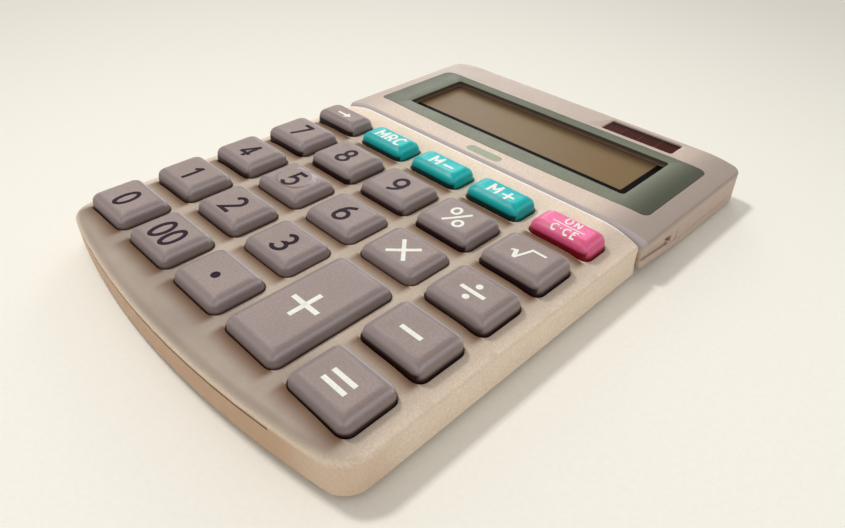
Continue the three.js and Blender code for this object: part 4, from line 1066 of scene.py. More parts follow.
KEYS: tuple[KeySpec, ...] = (
    figure("0", 0, 0, 0.0, 0.35),
    figure("00", 1, 0, 0.0, 0.35),
    KeySpec("key_point", 2, 0, Legend((Patch(oval(0, 0, 1.0, 1.0)),), Ink.DARK), -0.25, skirt=0.2),
    KeySpec("key_equals", 4, 0, Legend((line(1.0, (-2.9, 1.15), (2.9, 1.15)), line(1.0, (-2.9, -1.15), (2.9, -1.15)))),
            -0.5, skirt=0.2),
    figure("1", 0, 1, 0.5, 0.7),
    figure("2", 1, 1, 0.25, 0.6),
    figure("3", 2, 1, -1.0, 0.2),
    KeySpec("key_minus", 4, 1, Legend((line(1.0, (-2.6, 0), (2.6, 0)),)), 0.25, skirt=0.8),
    figure("4", 0, 2, 0.75, 0.8),
    figure("5", 1, 2, 0.0, 0.2, touched=True),
    figure("6", 2, 2, -0.75, 0.2),
    KeySpec("key_multiply", 3, 2, Legend((line(0.9, (-2.6, -2.7), (2.6, 2.7)), line(0.9, (-2.6, 2.7), (2.6, -2.7)))),
            -1.0, skirt=0.3),
    KeySpec("key_divide", 4, 2, Legend((line(0.95, (-3.0, 0), (3.0, 0)), Patch(oval(0, 2.0, 0.75, 0.75)),
                                        Patch(oval(0, -2.0, 0.75, 0.75)))), 0.0, skirt=0.7),
    figure("7", 0, 3, 1.0, 1.0),
    figure("8", 1, 3, 1.0, 1.0),
    figure("9", 2, 3, 0.5, 0.8),
    KeySpec("key_percent", 3, 3, Legend((
        Stroke(oval(-1.75, 1.75, 1.0, 1.2), 0.7, True), Stroke(oval(1.75, -1.75, 1.0, 1.2), 0.7, True),
        line(0.7, (-1.9, -3.0), (1.9, 3.0)))), 0.75),
    KeySpec("key_root", 4, 3, Legend((
        line(0.5, (-3.4, -0.5), (-2.45, 0.1)), line(0.95, (-2.55, 0.3), (-1.35, -2.3)),
        line(0.6, (-1.45, -2.4), (0.1, 2.3), (3.5, 2.3)))), 0.75, skirt=0.9),
    KeySpec("key_shift", 0, 4, Legend((line(0.7, (-2.5, 0), (1.0, 0)),
                                       Patch(((0.7, -1.25), (2.6, 0.0), (0.7, 1.25))))), 1.0),
    KeySpec("key_memory_recall", 1, 4, Legend(lettering("MRC", 0.1, 0.1, 4.3, 0.72, 1.15)), 0.5, CapColour.TEAL),
    KeySpec("key_memory_minus", 2, 4, Legend((*lettering("M", -1.95, 0.1, 4.2, 0.72, 0),
                                              line(0.7, (0.55, -0.1), (3.85, -0.1)))), 0.75, CapColour.TEAL),
    KeySpec("key_memory_plus", 3, 4, Legend((
        *lettering("M", -1.95, 0.1, 4.2, 0.72, 0), line(0.7, (0.55, -0.2), (3.95, -0.2)),
        line(0.7, (2.25, -1.9), (2.25, 1.5)))), 1.0, CapColour.TEAL),
    KeySpec("key_on_clear", 4, 4, Legend((
        *lettering("ON", 0.1, 1.8, 2.5, 0.42, 0.95), *lettering("C·CE", 0.1, -1.8, 2.4, 0.42, 0.85),
        line(0.33, (-4.1, 0), (4.1, 0)))), 0.5, CapColour.PINK),
    KeySpec("key_plus", 3, 0, Legend((line(1.1, (-3.7, 0), (3.7, 0)), line(1.1, (0, -3.8), (0, 3.8)))), -0.5,
            skirt=0.25),
)


@dataclass(frozen=True)
class KeyGrid:
    """Places and plan sizes of the keys."""

    pitch_x: float = 19.0
    pitch_y: float = 16.15
    width: float = 15.5
    depth: float = 12.0
    top_depth: float = 8.0
    top_shift: float = 0.6
    first_front: float = -60.5
    top_row: int = 4
    aperture: float = 0.45
    corner: float = 1.9

    def length(self, key: KeySpec) -> float:
        """Length of a cap away from the user."""
        depth = self.top_depth if key.row == self.top_row else self.depth
        return self.pitch_y + depth if key.node == "key_plus" else depth

    def centre(self, key: KeySpec) -> Flat:
        """Middle of a cap."""
        front = self.first_front + key.row * self.pitch_y + (self.top_shift if key.row == self.top_row else 0)
        return (key.column - 2) * self.pitch_x, front + self.length(key) / 2


@dataclass(frozen=True)
class CapLightPaint:
    """Where a cap gets painted shade at its foot, a painted highlight on its rim and painted shade on its slopes, in
    millimetres and shares.
    """

    foot_height: float = 1.2
    foot_blur: float = 0.35
    side_start: float = 0.4
    side_blur: float = 0.6
    side_foot: float = 0.15
    rim_middle: float = 0.55
    rim_half: float = 0.45
    rim_low: float = 1.5
    rim_least: float = 0.15
    back_start: float = 0.8
    back_blur: float = 1.2
    right_share: float = 0.35
    slope_start: float = 0.05
    slope_blur: float = 0.6
    slope_behind: float = 0.3
    pad_low: float = 2.5
    pad_half: float = 0.2
    light: Flat = (0.5, 0.87)


@dataclass
class KeyCap:
    """A hollow key cap with a flange, a soft shoulder, sloped sides and a dished top.

    Heights are measured from the keypad's face. slopes holds the sides' insets with their heights.
    """

    key: KeySpec
    grid: KeyGrid
    casing: Casing
    light_paint: CapLightPaint = CapLightPaint()
    least_corner: float = 0.8
    rim_inset: float = 1.05
    top_height: float = 2.86
    top_inset: float = 2.1
    dish: float = 0.12
    dish_rings: tuple[float, ...] = (0.85, 0.68, 0.5, 0.3, 0.12)
    rise: float = 0.4
    roof: float = 1.2
    flange: float = 0.9
    flange_ends: Flat = (-3.5, -2.5)
    wall: float = 1.0
    stem: float = 1.9
    stem_foot: float = 7.1
    foot: float = 0.2
    foot_drop: float = 0.3
    full_length: float = 10.0
    touch_radius: float = 4.6
    touch_height: float = 0.18
    touch_sink: float = 0.02
    touch_edge: float = 0.12
    touch_root: float = 0.7
    touch_flat: float = 0.87
    slopes: tuple[Flat, ...] = (
        (-0.2, 0.0), (-0.12, 0.6), (0.0, 1.2), (0.1, 1.55), (0.24, 1.85), (0.44, 2.1), (0.7, 2.3), (1.0, 2.45),
        (1.4, 2.61), (1.75, 2.75), (1.92, 2.81), (2.02, 2.845), (2.1, 2.86),
    )

    @property
    def half(self) -> Flat:
        """Half width and half length of the skirt."""
        return self.grid.width / 2, self.grid.length(self.key) / 2

    @property
    def lift(self) -> float:
        """How far the cap rests above the middle height, or below it."""
        return self.rise * self.key.rise_share

    @property
    def length_inset(self) -> float:
        """Inset of the top facet at the front and back, which is smaller on a short cap."""
        return self.top_inset * min(1.0, self.grid.length(self.key) / self.full_length)

    def inset_y(self, inset: float) -> float:
        """Inset at the front and back that goes with an inset at the sides.

        Args:
            inset: Inset at the sides.

        Returns:
            The inset.
        """
        if inset <= self.rim_inset:
            return inset
        share = (inset - self.rim_inset) / (self.top_inset - self.rim_inset)
        return self.rim_inset + share * (self.length_inset - self.rim_inset)

    def ring(self, inset: float, height: float) -> Ring:
        """Level ring of the cap at an inset from its skirt and a height above the keypad's face.

        Args:
            inset: Inset from the skirt.
            height: Height above the keypad's face.

        Returns:
            The ring.
        """
        half_x, half_y = self.half
        corner = self.grid.corner
        radius = max(corner - inset / 2, self.least_corner) if inset >= 0 else corner - inset
        outline = rounded_box(self.grid.centre(self.key), 2 * (half_x - inset),
                              2 * (half_y - self.inset_y(inset)), radius)
        return level(outline, self.casing.face + height)

    def round_ring(self, radius: float, z: float) -> Ring:
        """Ring of the stem, with as many points as the cap's rings."""
        return level(rounded_box(self.grid.centre(self.key), 2 * radius, 2 * radius, radius), z)

    def dished(self, share: float) -> float:
        """Height of the dished top above the table, at a share of the way from its middle to its edge."""
        return self.casing.face + self.top_height + self.lift - self.dish * (1 - share * share)

    def top_at(self, x: float, y: float) -> float:
        """Height of the cap's top above the table at a place measured from its middle.

        Args:
            x: Place across.
            y: Place along.

        Returns:
            The height.
        """
        half_x, half_y = self.half
        share = max(abs(x) / (half_x - self.top_inset), abs(y) / (half_y - self.length_inset))
        reach = math.hypot(x, y / self.touch_flat)
        if self.key.touched and reach < self.touch_radius:
            return self.touch_top(reach)
        if share <= 1:
            return self.dished(share)
        inset_y = half_y - abs(y)
        if inset_y > self.rim_inset:
            inset_y = self.rim_inset + (inset_y - self.rim_inset) * (
                (self.top_inset - self.rim_inset) / max(0.01, self.length_inset - self.rim_inset))
        inset = min(half_x - abs(x), inset_y, self.top_inset)
        for (low, low_height), (high, high_height) in zip(self.slopes, self.slopes[1:]):
            if inset <= high:
                part = max(0.0, (inset - low) / (high - low))
                return self.casing.face + self.lift + low_height + part * (high_height - low_height)
        return self.dished(1.0)

    def touch_top(self, reach: float) -> float:
        """Height of the raised pad above the table at a distance from its middle."""
        return self.dished(1.0) - self.touch_sink + self.touch_height * (reach / self.touch_radius) ** 2

    def touch_pad(self) -> Piece:
        """Raised round pad with a slightly hollow top, which a finger feels on the middle key.

        Returns:
            The pad.
        """
        x, y = self.grid.centre(self.key)
        radius, edge = self.touch_radius, self.touch_top(self.touch_radius)
        foot = radius + self.touch_edge
        profile = [(foot, edge - self.touch_root), (foot, edge - self.touch_edge), (radius, edge - self.touch_sink)]
        profile += [(radius * share, self.touch_top(radius * share)) for share in (0.94, 0.75, 0.5, 0.25)]
        return loft("touch_pad", [[(x + a, y + self.touch_flat * b, z) for a, b in oval(0, 0, reach, reach, steps=48)]
                                  for reach, z in profile])

    def light_paint_at(self, x: float, y: float, above: float) -> Solid:
        """How much painted shade and highlight the cap gets at a place.

        Args:
            x: Place across, from the cap's middle.
            y: Place along, from the cap's middle.
            above: Height above the keypad's face.

        Returns:
            Shares of the painted shade at the foot, the painted highlight on the rim and the painted shade on the
            slopes.
        """
        half_x, half_y = self.half
        light_paint = self.light_paint
        # Painted shade at the cap's foot, full along its front and weak on its other sides.
        side = held((y + half_y - light_paint.side_start) / light_paint.side_blur)
        limit = self.key.skirt * (light_paint.foot_height + self.lift) * (1 - (1 - light_paint.side_foot) * side)
        skirt = held((limit - above) / light_paint.foot_blur)
        reach = math.hypot(x, y / self.touch_flat)
        # The pad's ring gets a painted highlight on its side towards the light and painted shade on the other side.
        if self.key.touched and above > light_paint.pad_low and abs(reach - self.touch_radius) < light_paint.pad_half:
            lit = (light_paint.light[0] * x + light_paint.light[1] * y / self.touch_flat) / reach
            return skirt, max(0.0, lit), max(0.0, -lit)
        # Painted highlight on the rim, strongest at the back, and painted shade on the slopes, weaker at the back.
        inset = min(half_x - abs(x), half_y - abs(y))
        behind = max(share * held(1 - (edge - light_paint.back_start) / light_paint.back_blur)
                     for share, edge in ((1, half_y - y), (light_paint.right_share, half_x - x)))
        band = max(0.0, 1 - abs(inset - light_paint.rim_middle) / light_paint.rim_half) if above > light_paint.rim_low else 0.0
        slope = held((self.top_inset - light_paint.slope_start - inset) / light_paint.slope_blur)
        return skirt, band * (light_paint.rim_least + (1 - light_paint.rim_least) * behind), slope * (1 - light_paint.slope_behind * behind)

    def build(self) -> Piece:
        """Makes the cap.

        Returns:
            The object, with its painted shade and highlight as the attributes skirt, rim and slope.
        """
        x, y = self.grid.centre(self.key)
        roof = self.top_height + self.lift - self.roof
        bottom, flange_top = self.flange_ends
        rings = [
            self.round_ring(self.stem, self.stem_foot),
            self.round_ring(self.stem, self.casing.face + roof),
            self.ring(self.wall + self.rim_inset, roof),
            self.ring(self.wall, bottom),
            self.ring(-self.flange, bottom),
            self.ring(-self.flange, flange_top),
            self.ring(-self.foot, flange_top),
        ]
        rings += [self.ring(inset, height + (self.lift if height > 0 else -self.foot_drop))
                  for inset, height in self.slopes]
        top = rings[-1]
        rings += [[(x + (a - x) * share, y + (b - y) * share, self.dished(share)) for a, b, _ in top]
                  for share in self.dish_rings]
        piece = loft(f"cap_{self.key.node}", rings, (x, y, self.dished(0.0)))
        if self.key.touched:
            carve(piece, [self.touch_pad()], "UNION")
        marks = []
        for vertex in piece.data.vertices:
            place = vertex.co / MM
            marks.append(self.light_paint_at(place.x - x, place.y - y, place.z - self.casing.face))
        for name, values in zip(("skirt", "rim", "slope"), zip(*marks)):
            piece.data.attributes.new(name, "FLOAT", "POINT").data.foreach_set("value", values)
        smooth(piece, 24.0)
        return piece


@dataclass
class LegendPrint:
    """A legend laid over a cap's dished top as a thin film of ink."""

    cap: KeyCap
    film: float = 0.03
    root: float = 0.1
    grain: float = 0.6
    shift: Flat = (0.3, -0.55)

    def build(self) -> Piece:
        """Makes the legend on its cap.

        Returns:
            The object.
        """
        made = bmesh.new()
        for shape in self.cap.key.legend.shapes:
            shape.strip(made)
        bmesh.ops.triangulate(made, faces=made.faces)
        for _ in range(5):
            long = [edge for edge in made.edges if edge.calc_length() > self.grain]
            if not long:
                break
            bmesh.ops.subdivide_edges(made, edges=long, cuts=1)
            bmesh.ops.triangulate(made, faces=made.faces)
        for face in made.faces:
            face.normal_update()
            if face.normal.z < 0:
                face.normal_flip()
        x, y = self.cap.grid.centre(self.cap.key)
        for vertex in made.verts:
            a, b = vertex.co.x + self.shift[0], vertex.co.y + self.shift[1] * self.cap.half[1] / 6
            vertex.co = (x + a, y + b, self.cap.top_at(a, b) + self.film)
        bmesh.ops.scale(made, vec=(MM, MM, MM), verts=made.verts)
        mesh = bpy.data.meshes.new("legend")
        made.to_mesh(mesh)
        made.free()
        piece = object_of(f"legend_{self.cap.key.node}", mesh)
        thickness = piece.modifiers.new("film", "SOLIDIFY")
        thickness.thickness = (self.film + self.root) * MM
        thickness.offset = -1.0
        bake(piece)
        return piece


@dataclass
class Keyboard:
    """All 24 caps with their legends, each on its own body."""

    casing: Casing
    grid: KeyGrid

    def build(self, finishes: Finishes) -> None:
        """Makes and dresses the keys.

        Args:
            finishes: The object's finishes.
        """
        for key in KEYS:
            cap = KeyCap(key, self.grid, self.casing)
            slot = key.colour.value
            dress(cap.build(), finishes, key.node, slot, key.node)
            dress(LegendPrint(cap).build(), finishes, key.node, slot, finish=f"{key.legend.ink.value}_ink")


# Keypad body

@dataclass
class KeypadHousing:
    """Top housing of the keypad: bowed front, cambered sides, key openings and a hollow back wall."""

    casing: Casing
    grid: KeyGrid
    corner: float = 4.4
    front_edge: float = 2.4
    seam_edge: float = 0.7
    seam_corner: float = 0.9
    side_edge: float = 0.5
    roof: float = 2.2
    wall: float = 2.0
    inner_back: float = 17.7
    groove_half: float = 35.0
    groove_drop: float = 3.0
    groove_depth: float = 0.5
    groove_flank: float = 0.75
    slit: float = 0.3
    slit_depth: float = 1.5
    slit_share: float = 0.97
    slit_blur: Flat = (0.2, 0.5)
    lip: float = 0.12
    foot: float = 0.4
    arm_top: float = 4.8
    ribbon_high: float = 4.7

    def section(self, x: float) -> list[Flat]:
        """Cross section of the housing at a place across.

        Args:
            x: Place across.

        Returns:
            Its points.
        """
        case = self.casing
        half = case.body_half
        top = case.body_top(x) - draw_in(x, half, self.side_edge)
        front = case.front + case.bow(x) + draw_in(x, half, self.corner)
        drawn = draw_in(x, half, self.seam_corner)
        wall_top = top - self.seam_edge
        back = case.barrel_y(wall_top, case.hollow) - drawn
        wall = [(case.barrel_y(z, case.hollow) - drawn, z)
                for z in (wall_top + (case.body_stand - wall_top) * i / 8 for i in range(1, 9))]
        return [
            (front, case.body_stand),
            *arc((front + self.front_edge, top - self.front_edge), self.front_edge, 180, 90, 10),
            *arc((back - self.seam_edge, wall_top), self.seam_edge, 90, 0, 6),
            *wall,
        ]

    def plan(self, inset: float, back: float) -> list[Flat]:
        """Plan of the housing drawn in by an inset, with a straight back.

        Args:
            inset: The inset.
            back: Where the back lies.

        Returns:
            Its points.
        """
        case = self.casing
        half = case.body_half - inset
        corner = self.corner - inset
        places = places_across(half, case.body_camber_start, corner, 0.3)
        front = [(x, case.front + inset + case.bow(x) + draw_in(x, half, corner)) for x in places]
        return [*front, (half, back), (-half, back)]

    def along_front(self, half: float) -> list[Flat]:
        """Places across up to a half width, closer at the ends, each with where the front wall stands there."""
        places = [half * math.sin(math.pi / 2 * i / 16) for i in range(-16, 17)]
        return [(x, self.casing.front + self.casing.bow(x)) for x in places]

    def groove(self) -> Piece:
        """Cutter of the finger groove along the front wall, fading out to both ends.

        Returns:
            The cutter.
        """
        case, rings = self.casing, []
        middle = case.face - self.groove_drop
        for x, wall in self.along_front(self.groove_half):
            depth = self.groove_depth * max(0.03, 1 - (abs(x) / self.groove_half) ** 4)
            mouth = (1 + depth) * self.groove_flank
            rings.append(spread([(wall - 1, middle - mouth), (wall + depth, middle), (wall - 1, middle + mouth)],
                                x, case.body_half, case))
        return loft("groove", rings)

    def groove_slit(self) -> Piece:
        """Cutter of the fine dark slit at the bottom of the finger groove.

        Returns:
            The cutter.
        """
        case, rings = self.casing, []
        low, high = (case.face - self.groove_drop + side * self.slit for side in (-1, 1))
        for x, wall in self.along_front(self.groove_half * self.slit_share):
            deep = wall + self.slit_depth
            rings.append(spread([(wall - 1, low), (deep, low), (deep, high), (wall - 1, high)],
                                x, case.body_half, case))
        return loft("groove_slit", rings)

    def opening(self, key: KeySpec) -> Piece:
        """Cutter of one key opening, flared where its edge is rounded over the cambered face.

        Args:
            key: The key.

        Returns:
            The cutter.
        """
        case, grid = self.casing, self.grid
        rings = []
        for height, grow in ((-3.4, 0.0), (-self.lip, 0.0), (-0.4 * self.lip, 0.18 * self.lip),
                             (-0.1 * self.lip, 0.5 * self.lip), (0.02, self.lip), (1.0, 1.2 * self.lip)):
            reach = grid.aperture + grow
            outline = rounded_box(grid.centre(key), grid.width + 2 * reach, grid.length(key) + 2 * reach,
                                  grid.corner + reach)
            rings.append([(x, y, case.body_top(x) + height) for x, y in outline])
        return loft("opening", rings)

    def mark_slit(self, piece: Piece) -> None:
        """Writes how deep each point lies in the groove's slit as the attribute slit, which paints shade in the slit.

        Args:
            piece: The housing.
        """
        case = self.casing
        depths = []
        for vertex in piece.data.vertices:
            x, y, z = vertex.co / MM
            inside = y - case.front - case.bow(min(abs(x), self.groove_half))
            level_with = abs(z - case.face + self.groove_drop) < 1.2 * self.slit
            near = level_with and abs(x) < self.groove_half and inside < 1.3 * self.slit_depth
            depths.append(held((inside - self.slit_blur[0]) / self.slit_blur[1]) if near else 0.0)
        piece.data.attributes.new("slit", "FLOAT", "POINT").data.foreach_set("value", depths)

    def build(self) -> Piece:
        """Makes the housing.

        Returns:
            The housing.
        """
        case = self.casing
        places = places_across(case.body_half, case.body_camber_start, self.corner, self.side_edge)
        piece = loft("keypad_housing", [spread(self.section(x), x, case.body_half, case) for x in places])
        carve(piece, [
            prism_up("inside", self.plan(self.wall, self.inner_back), self.foot, case.face - self.roof),
            self.groove(), *[self.opening(key) for key in KEYS],
        ])
        carve(piece, [self.groove_slit()])
        self.mark_slit(piece)
        through = (self.inner_back - 1, case.pivot_y)
        carve(piece, [
            *[block("slot", on_side(side, *case.arm), through, (self.foot, self.arm_top)) for side in (-1, 1)],
            block("slot", case.ribbon, through, (case.ribbon_low, self.ribbon_high)),
        ])
        smooth(piece)
        return piece


# Display head

@dataclass(frozen=True)
class Walls:
    """How far the inside of the head lies from its outside on each side."""

    side: float = 0.0
    top: float = 0.0
    front: float = 0.0
    back: float = 0.0
    floor: float = 0.0


@dataclass
class HeadShells:
    """The display head's two mouldings, split along a line above its lower edge."""

    casing: Casing
    back_corner: float = 2.3
    back_edge: float = 0.8
    seam_edge: float = 1.5
    seam_corner: float = 0.8
    side_edge: float = 0.4
    inner_edge: float = 0.3
    parting_gap: float = 0.05
    reach: float = 1.5
    relief_depth: float = 0.35
    mark_depth: float = 1.4
    arm_back: float = 2.7
    arm_top: float = 8.0
    ribbon_back: float = 26.7
    ribbon_high: float = 7.2
    screws: tuple[Flat, ...] = ((34.0, 26.3), (44.4, 62.4))
    boss: float = 2.1
    boss_gap: float = 1.7
    boss_root: float = 1.0
    tabs: tuple[Flat, ...] = ((40.6, 42.4), (46.5, 48.5))
    tab: float = 2.1
    tab_root: float = 1.6
    post: float = 1.8
    posts: tuple[Solid, ...] = ((-35.5, 34.0, 5.1), (-35.5, 55.2, 5.1), (35.5, 34.0, 5.1), (35.5, 55.2, 5.1),
                                (16.5, 64.1, 7.1), (31.2, 64.1, 7.1))
    seat: tuple[Flat, ...] = ((2.0, -1.0), (2.0, 1.0), (1.05, 1.0), (1.05, 2.4))
    notch: tuple[Flat, ...] = ((-2.8, 0.9), (1.1, -1.3), (1.1, 0.6))
    relief: tuple[Flat, ...] = ((-6.0, 1.1), (-12.9, 1.9))
    slit: Flat = (3.9, 4.3)
    slit_turn: Flat = (-42, 4)
    foot: Flat = (37.0, 61.1)
    foot_pocket: Flat = (3.9, 1.4)
    door: Flat = (-15.7, 60.3)
    door_pad: Solid = (23.2, 15.2, 2.8)
    door_recess: Solid = (22.4, 14.4, 1.9)
    door_screw: Flat = (-22.5, 60.3)
    door_boss_top: float = 5.7
    screw_hole: Flat = (0.9, 4.9)
    cell: Flat = (-12.0, 60.3)
    cell_well: Flat = (7.1, 5.3)
    cell_space: Flat = (6.1, 6.5)
    floor: float = 0.7
    below: float = -0.3
    walls: Walls = Walls(2.0, 2.0, 1.6, 1.5, 1.4)

    def section(self, x: float, walls: Walls) -> list[Flat]:
        """Cross section of the head at a place across, drawn in by walls.

        Args:
            x: Place across.
            walls: How far it is drawn in.

        Returns:
            Its points.
        """
        case = self.casing
        inner = walls.side > 0
        half = case.head_half - walls.side
        radius = case.barrel - walls.front
        top = case.head_top(x) - walls.top - (0 if inner else draw_in(x, half, self.side_edge))
        edge = self.inner_edge if inner else self.seam_edge
        back_edge = self.inner_edge if inner else self.back_edge
        seam = draw_in(x, half, self.seam_corner)
        back = case.back - walls.back - draw_in(x, half, self.back_corner - walls.back)
        bottom = case.ramp(case.pivot_y - case.barrel) + walls.floor
        heights = [bottom + (top - edge - bottom) * i / 10 for i in range(11)]
        barrel = [(case.barrel_y(z, radius) + seam, z) for z in heights]
        lip = barrel[-1][0]
        return [
            *barrel,
            *arc((lip + edge, top - edge), edge, 180, 90, 6)[1:],
            *arc((back - back_edge, top - back_edge), back_edge, 90, 0, 8),
            (back, case.head_stand + walls.floor),
            (case.ramp_end, case.head_stand + walls.floor),
        ]

    def solid(self, name: str, walls: Walls) -> Piece:
        """Solid of the head's outside or inside.

        Args:
            name: Name of the object.
            walls: How far it is drawn in.

        Returns:
            The solid.
        """
        case = self.casing
        half = case.head_half - walls.side
        places = places_across(half, case.head_camber_start, self.back_corner - walls.back, self.side_edge)
        return loft(name, [spread(self.section(x, walls), x, half, case) for x in places])

    def half_space(self, above: bool) -> Piece:
        """Block above or below the parting line.

        Args:
            above: Whether it lies above.

        Returns:
            The block.
        """
        case = self.casing
        gap = self.parting_gap if above else -self.parting_gap
        limit = case.face + 1 if above else -1.0
        front, back = case.pivot_y - case.hollow - 1, case.back + 1
        line = [(y, case.ramp(y) + case.parting + gap) for y in (back, case.ramp_end, front)]
        reach = case.head_half + self.reach
        return prism_across("half_space", [(front, limit), (back, limit), *line], -reach, reach)

    def moulding(self, name: str, above: bool) -> Piece:
        """Hollow moulding above or below the parting line.

        Args:
            name: Name of the object.
            above: Whether it lies above.

        Returns:
            The moulding.
        """
        piece = self.solid(name, Walls())
        carve(piece, [self.half_space(above)], "INTERSECT")
        carve(piece, [self.solid("inside", self.walls)])
        return piece

    def side_marks(self, side: int) -> list[Piece]:
        """Cutters of the relief, the notch and the round slit in one side wall.

        Args:
            side: -1 for left, 1 for right.

        Returns:
            The cutters.
        """
        case = self.casing
        y, z = case.pivot_y, case.pivot_z
        notch, upper = ([(y + a, z + b) for a, b in points] for points in (self.notch, self.relief))
        middle = tuple(sum(values) / 3 for values in zip(*notch))
        relief = [(a, case.ramp(a) + case.parting) for a in (y - case.hollow, middle[0])] + [middle, *upper]
        (inner, outer), (start, end) = self.slit, self.slit_turn
        slit = [*arc((y, z), inner, start, end, 14), *arc((y, z), outer, end, start, 14)]
        return [prism_across(name, outline, *on_side(side, case.head_half - depth, case.head_half + self.reach))
                for name, outline, depth in (("relief", relief, self.relief_depth), ("notch", notch, self.mark_depth),
                                             ("slit", slit, self.mark_depth))]

    def slots(self) -> list[Piece]:
        """Cutters of what the hinge arms sweep and of the ribbon's slot, tall enough for the head's tilt.

        Returns:
            The cutters.
        """
        case = self.casing
        arms = (case.pivot_y - case.hollow - 1, case.pivot_y + self.arm_back)
        ribbon = (case.pivot_y - case.hollow, self.ribbon_back)
        return [*[block("arm_slot", on_side(side, *case.arm), arms, (0.0, self.arm_top)) for side in (-1, 1)],
                block("ribbon_slot", case.ribbon, ribbon, (case.ribbon_low, self.ribbon_high))]

    def build_front(self, display: "Display", solar: "SolarWindow") -> Piece:
        """Makes the upper moulding with its bezel recess, windows, marks, bosses and hinge tabs.

        Args:
            display: The display.
            solar: The solar window.

        Returns:
            The moulding.
        """
        case = self.casing
        piece = self.moulding("head_top_moulding", True)
        posts = []
        for side in (-1, 1):
            for x, y in self.screws:
                ends = (case.ramp(y - self.boss) + self.boss_gap, case.head_top(x) - self.boss_root)
                posts.append(drum("boss", (side * x, y), self.boss, ends))
            for low, high in self.tabs:
                outline = [*arc((case.pivot_y, case.pivot_z), self.tab, 180, 360, 12),
                           *[(case.pivot_y + way * self.tab, case.face - self.tab_root) for way in (1, -1)]]
                posts.append(prism_across("tab", outline, *on_side(side, low, high)))
        carve(piece, posts, "UNION")
        carve(piece, [display.recess(), display.window_cutter(0.3, 8.0, case.face), display.frame_pocket(),
                      solar.cutter(), *self.side_marks(-1), *self.side_marks(1), *self.slots()])
        smooth(piece)
        return piece

    def build_rear(self) -> Piece:
        """Makes the lower moulding with its posts, the cell's well, the door's recess and foot pockets.

        Returns:
            The moulding.
        """
        case = self.casing
        piece = self.moulding("head_bottom_moulding", False)
        floor, below = self.floor, self.below
        root = case.head_stand + floor
        pad, recess = self.door_pad, self.door_recess
        (well, well_top), (space, space_top), (hole, hole_top) = self.cell_well, self.cell_space, self.screw_hole
        carve(piece, [
            *[drum("post", (x, y), self.post, (root, top)) for x, y, top in self.posts],
            prism_up("pad", rounded_box(self.door, pad[0], pad[1], 2.1), root, pad[2]),
            drum("well", self.cell, well, (root, well_top), 48),
            drum("door_boss", self.door_screw, self.post, (root, self.door_boss_top)),
        ], "UNION")
        cutters = [
            prism_up("door_recess", rounded_box(self.door, recess[0], recess[1], 1.7), below, recess[2]),
            drum("cell_space", self.cell, space, (floor, space_top), 48),
            drum("screw_hole", self.door_screw, hole, (floor, hole_top)),
            *self.slots(),
        ]
        for side in (-1, 1):
            pocket, pocket_top = self.foot_pocket
            cutters.append(drum("foot_pocket", (side * self.foot[0], self.foot[1]), pocket, (below, pocket_top), 40))
            for x, y in self.screws:
                profile = [(radius, case.ramp(y) + height) for radius, height in self.seat]
                cutters.append(turned("screw_seat", profile, (side * x, y)))
        carve(piece, cutters)
        smooth(piece)
        return piece


